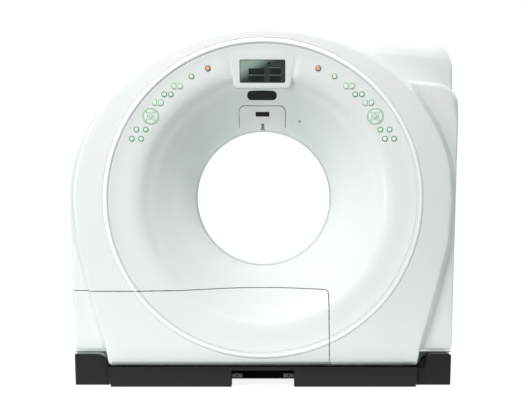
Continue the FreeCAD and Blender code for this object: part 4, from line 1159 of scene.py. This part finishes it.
LEFT_TOP = [(-973.2, 151.5), (-972.6, 154.5), (-971, 157.1), (-968.5, 158.9), (-965, 159.8), (-900, 160.2), (-857, 160.2), (-846, 158.8), (-836, 155.6), (-826, 152.2),
            (-818, 147.5), (-811, 141.5), (-806.5, 133.5), (-803.6, 124), (-801.6, 112), (-800.6, 92)]
LEFT_RAD = [(-818, 886), (-816, 890), (-812, 908), (-806, 934), (-801, 947), (-800, 955)]
RIGHT_TOP = [(838.2, 86), (840, 98), (843, 111), (846, 124), (849, 136), (852, 146), (855.5, 153.4), (860, 157.6), (866, 159.6), (900, 160.2), (958, 160.0), (963, 158.7),
             (967.6, 156.1), (970.8, 152.5), (972.6, 148.5), (973.2, 144.5)]
RIGHT_RAD = [(860, 906), (864, 900), (868, 889), (871, 886)]


def outer_lean(x, z):
    k = max(0.0, 1 - z / 150.0) * 5.5
    if x < -960:
        return x + k
    return x - k if x > 960 else x


def long_block(name, table, rads, ledge):
    stops = sorted({p[0] for p in table})
    xs = spread(stops, 12)
    ob = relief(name, xs, LONG_Y, lambda x, y: min(at(table, x), cradle(at(rads, x), y)), [M_BLACK, ledge], (-419.8, 419.8), outer_lean,
                (-973.2 if table[0][0] < 0 else 973.2, 5.0, (-419.8, 419.8)))
    # top faces next to the covers take the ledge colour: painted light on the left block, painted shade on the right
    # block
    for p in ob.data.polygons:
        c = p.center / MM
        if abs(p.normal.z) > 0.5 and c.z > 142.0 and 330.0 < abs(c.y) < 414.5:
            p.material_index = 1
    return ob


mounted(long_block("left_base_block", LEFT_TOP, LEFT_RAD, M_LEDGE_PAINT_LIT), "base", "base_black", "base_frame")
mounted(long_block("right_base_block", RIGHT_TOP, RIGHT_RAD, M_LEDGE_PAINT_SHADE), "base", "base_black", "base_frame")
for name, x0, x1 in (("left_toe", -800.4, -791.5), ("right_toe", 791.5, 838.0)):
    for sign, end in ((-1, "front"), (1, "rear")):
        ys = sorted(sign * v for v in [419.8, 419.5, 418.8, 417.6, 415.3] + spread([415.3, 361.0], 6)[1:])
        ob = relief(name + "_" + end, spread([x0, x1], 8), ys, lambda x, y: min(87.0, cradle(972.0, y)), [M_BLACK], (sign * 419.8,))
        mounted(ob, "base", "base_black", "base_frame")
plate = prism("floor_plate", [(-838, 0), (839, 0), (839, 6), (-838, 6)], "Y", -259.5, 259.5, [M_BLACK])
mounted(soften(plate, 1.0, 2, 40, 50), "base", "base_black", "base_frame")


def plinth_lean(x, z):
    k = max(0.0, 1 - z / 102.0) * min(1.0, max(0.0, (abs(x) - 752.0) / 37.8))
    return x + 13.0 * k if x < 0 else x - 6.5 * k


def plinth(name, rear_side):
    sgn = 1 if rear_side else -1
    ys = sorted(sgn * v for v in [469.8, 469.5, 468.8, 467.6, 465.3] + spread([465.3, 447.0, 394.0], 6)[1:])
    ends = [-789.8, -788.5, -786, -783, -780, -777]
    if rear_side:
        xs = ends + spread([-777, 777], 40)[1:] + [-x for x in reversed(ends)][1:]
        return relief(name, xs, ys, lambda x, y: min(102.0, cradle(972.0, y)), [M_BLACK], (sgn * 469.8,), None, (789.8, 12.0, (469.8,)))
    xs = ends + spread([-777, 777], 40)[1:] + [-x for x in reversed(ends)][1:]
    ob = relief(name, xs, ys, lambda x, y: min(102.0, cradle(972.0, y)), [M_BLACK, M_PLINTH_SHADE], (sgn * 469.8,), plinth_lean, (789.8, 10.0, (-469.8,)))
    cut1 = prism("notch_cut", [(-160.5, -10), (160.5, -10), (160.5, 83.6), (-160.5, 83.6)], "Y", -500, -422, [M_SLOT_SHADE])
    carve(ob, cut1)
    cut2 = prism("notch_cut_low", [(-160.5, -10), (160.5, -10), (160.5, 41.0), (-160.5, 41.0)], "Y", -500, -300, [M_SLOT_SHADE])
    carve(ob, cut2)
    tidy(ob)
    me = ob.data
    # painted shade: the plinth's top land under the covers and the walls inside the notch are near black, where shade
    # falls
    for p in me.polygons:
        c = p.center / MM
        inside = abs(c.x) < 160.6 and c.y > -469.0 and c.z < 83.8
        top_land = p.normal.z > 0.5 and c.z > 90.0 and c.y > -469.0
        p.material_index = 1 if top_land or (inside and max(abs(v) for v in p.normal) > 0.7 and c.y < -393.5) else 0
    return soften(ob, 1.6, 2, 60, 50)


mounted(plinth("front_plinth_shell", False), "base", "base_cover", "front_plinth")
mounted(plinth("rear_plinth_shell", True), "base", "base_cover", "rear_plinth")

for i, x in enumerate((-132.5, 132.5)):
    out = rounded(x - 27.2, x + 27.2, 46.3, 65.7, 3, 3, 5, 12)
    tab = prism("dock_tab_%d" % i, out, "Y", -457.8, -428.5, [M_BRACKET])
    carve(tab, prism("dock_hole", arc_pts(x, 56, 4.5, 0, 345, 23), "Y", -470, -420, [M_BRACKET]))
    tidy(tab)
    soften(tab, 1.0, 2, 40, 50)
    mounted(tab, "base", "bracket_grey", *(["docking_brackets"] if i == 0 else []))


# ---------------------------------------------------------------- skirts set back under the lower edges of the covers; their grey is painted shade, their front upper rims a painted glow
def skirt(name, pts, y0, y1, node, mat):
    ob = prism(name, pts, "Y", y0, y1, [mat])
    mounted(soften(ob, 1.2, 2, 40, 50), "gantry", "cover_white", node)


SK_L = [(-981.0, 156.6), (-809.5, 156.6), (-809.5, 170), (-981.0, 170)]
SK_L_TOP = [(-981.0, 168.3), (-809.5, 168.3), (-809.5, 186), (-981.0, 186)]
SK_R = [(804, 106.5), (821.5, 106.5), (825, 119), (829.5, 131), (835.5, 138), (845, 143), (856, 147.7), (862, 152.4), (866, 156.6), (981.0, 156.6), (981.0, 166), (804, 166)]
SK_R_TOP = [(804, 164.0), (981.0, 164.0), (981.0, 186), (804, 186)]
# lower bands: grey-green painted shade, lighter on the left as painted light from the left
skirt("lower_skirt_left", SK_L, -355.8, -350.2, "lower_front_panel", M_SKIRT_PAINT_LIT)
# upper rims: cover white with a painted glow that lifts them out of the shade under the covers
skirt("lower_rim_left", SK_L_TOP, -372.0, -358.0, "lower_front_panel", M_RIM_GLOW)
skirt("lower_skirt_right", SK_R, -355.8, -350.2, "front_cover", M_SKIRT_PAINT_SHADE)
skirt("lower_rim_right", SK_R_TOP, -368.0, -358.0, "front_cover", M_RIM_GLOW)
SK_REAR = [(-981.0, 156.6), (-809.5, 156.6), (-809.5, 186), (-981.0, 186)]
# rear skirts: grey-green painted shade
skirt("rear_skirt_left", SK_REAR, 350.2, 355.8, "rear_cover", M_SKIRT_REAR_SHADE)
skirt("rear_skirt_right", [(-x, z) for x, z in SK_REAR], 350.2, 355.8, "rear_cover", M_SKIRT_REAR_SHADE)


# ---------------------------------------------------------------- finish of the pieces that keep their own form
CAD_LOOK = {"left_upright": M_FRAME, "right_upright": M_FRAME, "tilt_motor": M_MOTOR, "tilt_frame": M_FRAME, "trunnion_pins": M_STEEL,
            "tilt_sector_gear": M_STEEL, "tilt_pinion": M_STEEL, "scan_window_ring": M_RING, "main_bearing_outer": M_STEEL,
            "main_bearing_inner": M_STEEL, "bearing_balls": M_STEEL, "rotor_drive_motor": M_MOTOR, "drive_belt": M_RUBBER,
            "fan_guard": M_GUARD, "cooling_fan": M_FAN, "motor_pulley": M_ALLOY, "rotor_drum": M_ALLOY, "slip_ring": M_BRASS,
            "xray_tube": M_TUBE, "collimator": M_TUBE, "detector_arc": M_CASE, "high_voltage_generator": M_CASE, "heat_exchanger": M_ALLOY}
for node, m in CAD_LOOK.items():
    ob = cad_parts[node]
    if not hasattr(ob, "data"):
        ob = ob["object"] if isinstance(ob, dict) else bpy.data.objects[ob]
    if len(ob.material_slots) == 0:
        ob.data.materials.append(m)
    for s in ob.material_slots:
        s.material = m


# ---------------------------------------------------------------- stage: floor that sweeps up all round
def stage():
    prof = [(0.0, -0.0006)] + [(7.5 * i / 6, -0.0006) for i in range(1, 7)]
    prof += [(7.5 + 3.5 * math.sin(math.radians(a)), 3.5 * (1 - math.cos(math.radians(a))) - 0.0006) for a in range(6, 91, 6)] + [(11.0, 8.0)]
    verts, faces = [(0, 0, -0.0006)], []
    n = 96
    for r, z in prof[1:]:
        verts += [(r * math.cos(2 * math.pi * k / n), r * math.sin(2 * math.pi * k / n), z) for k in range(n)]
    for k in range(n):
        faces.append((0, 1 + k, 1 + (k + 1) % n))
    for i in range(len(prof) - 2):
        for k in range(n):
            a, b = 1 + i * n, 1 + (i + 1) * n
            faces.append((a + k, b + k, b + (k + 1) % n, a + (k + 1) % n))
    ob = build("floor_sweep", verts, faces, [M_FLOOR], mm=False)


stage()
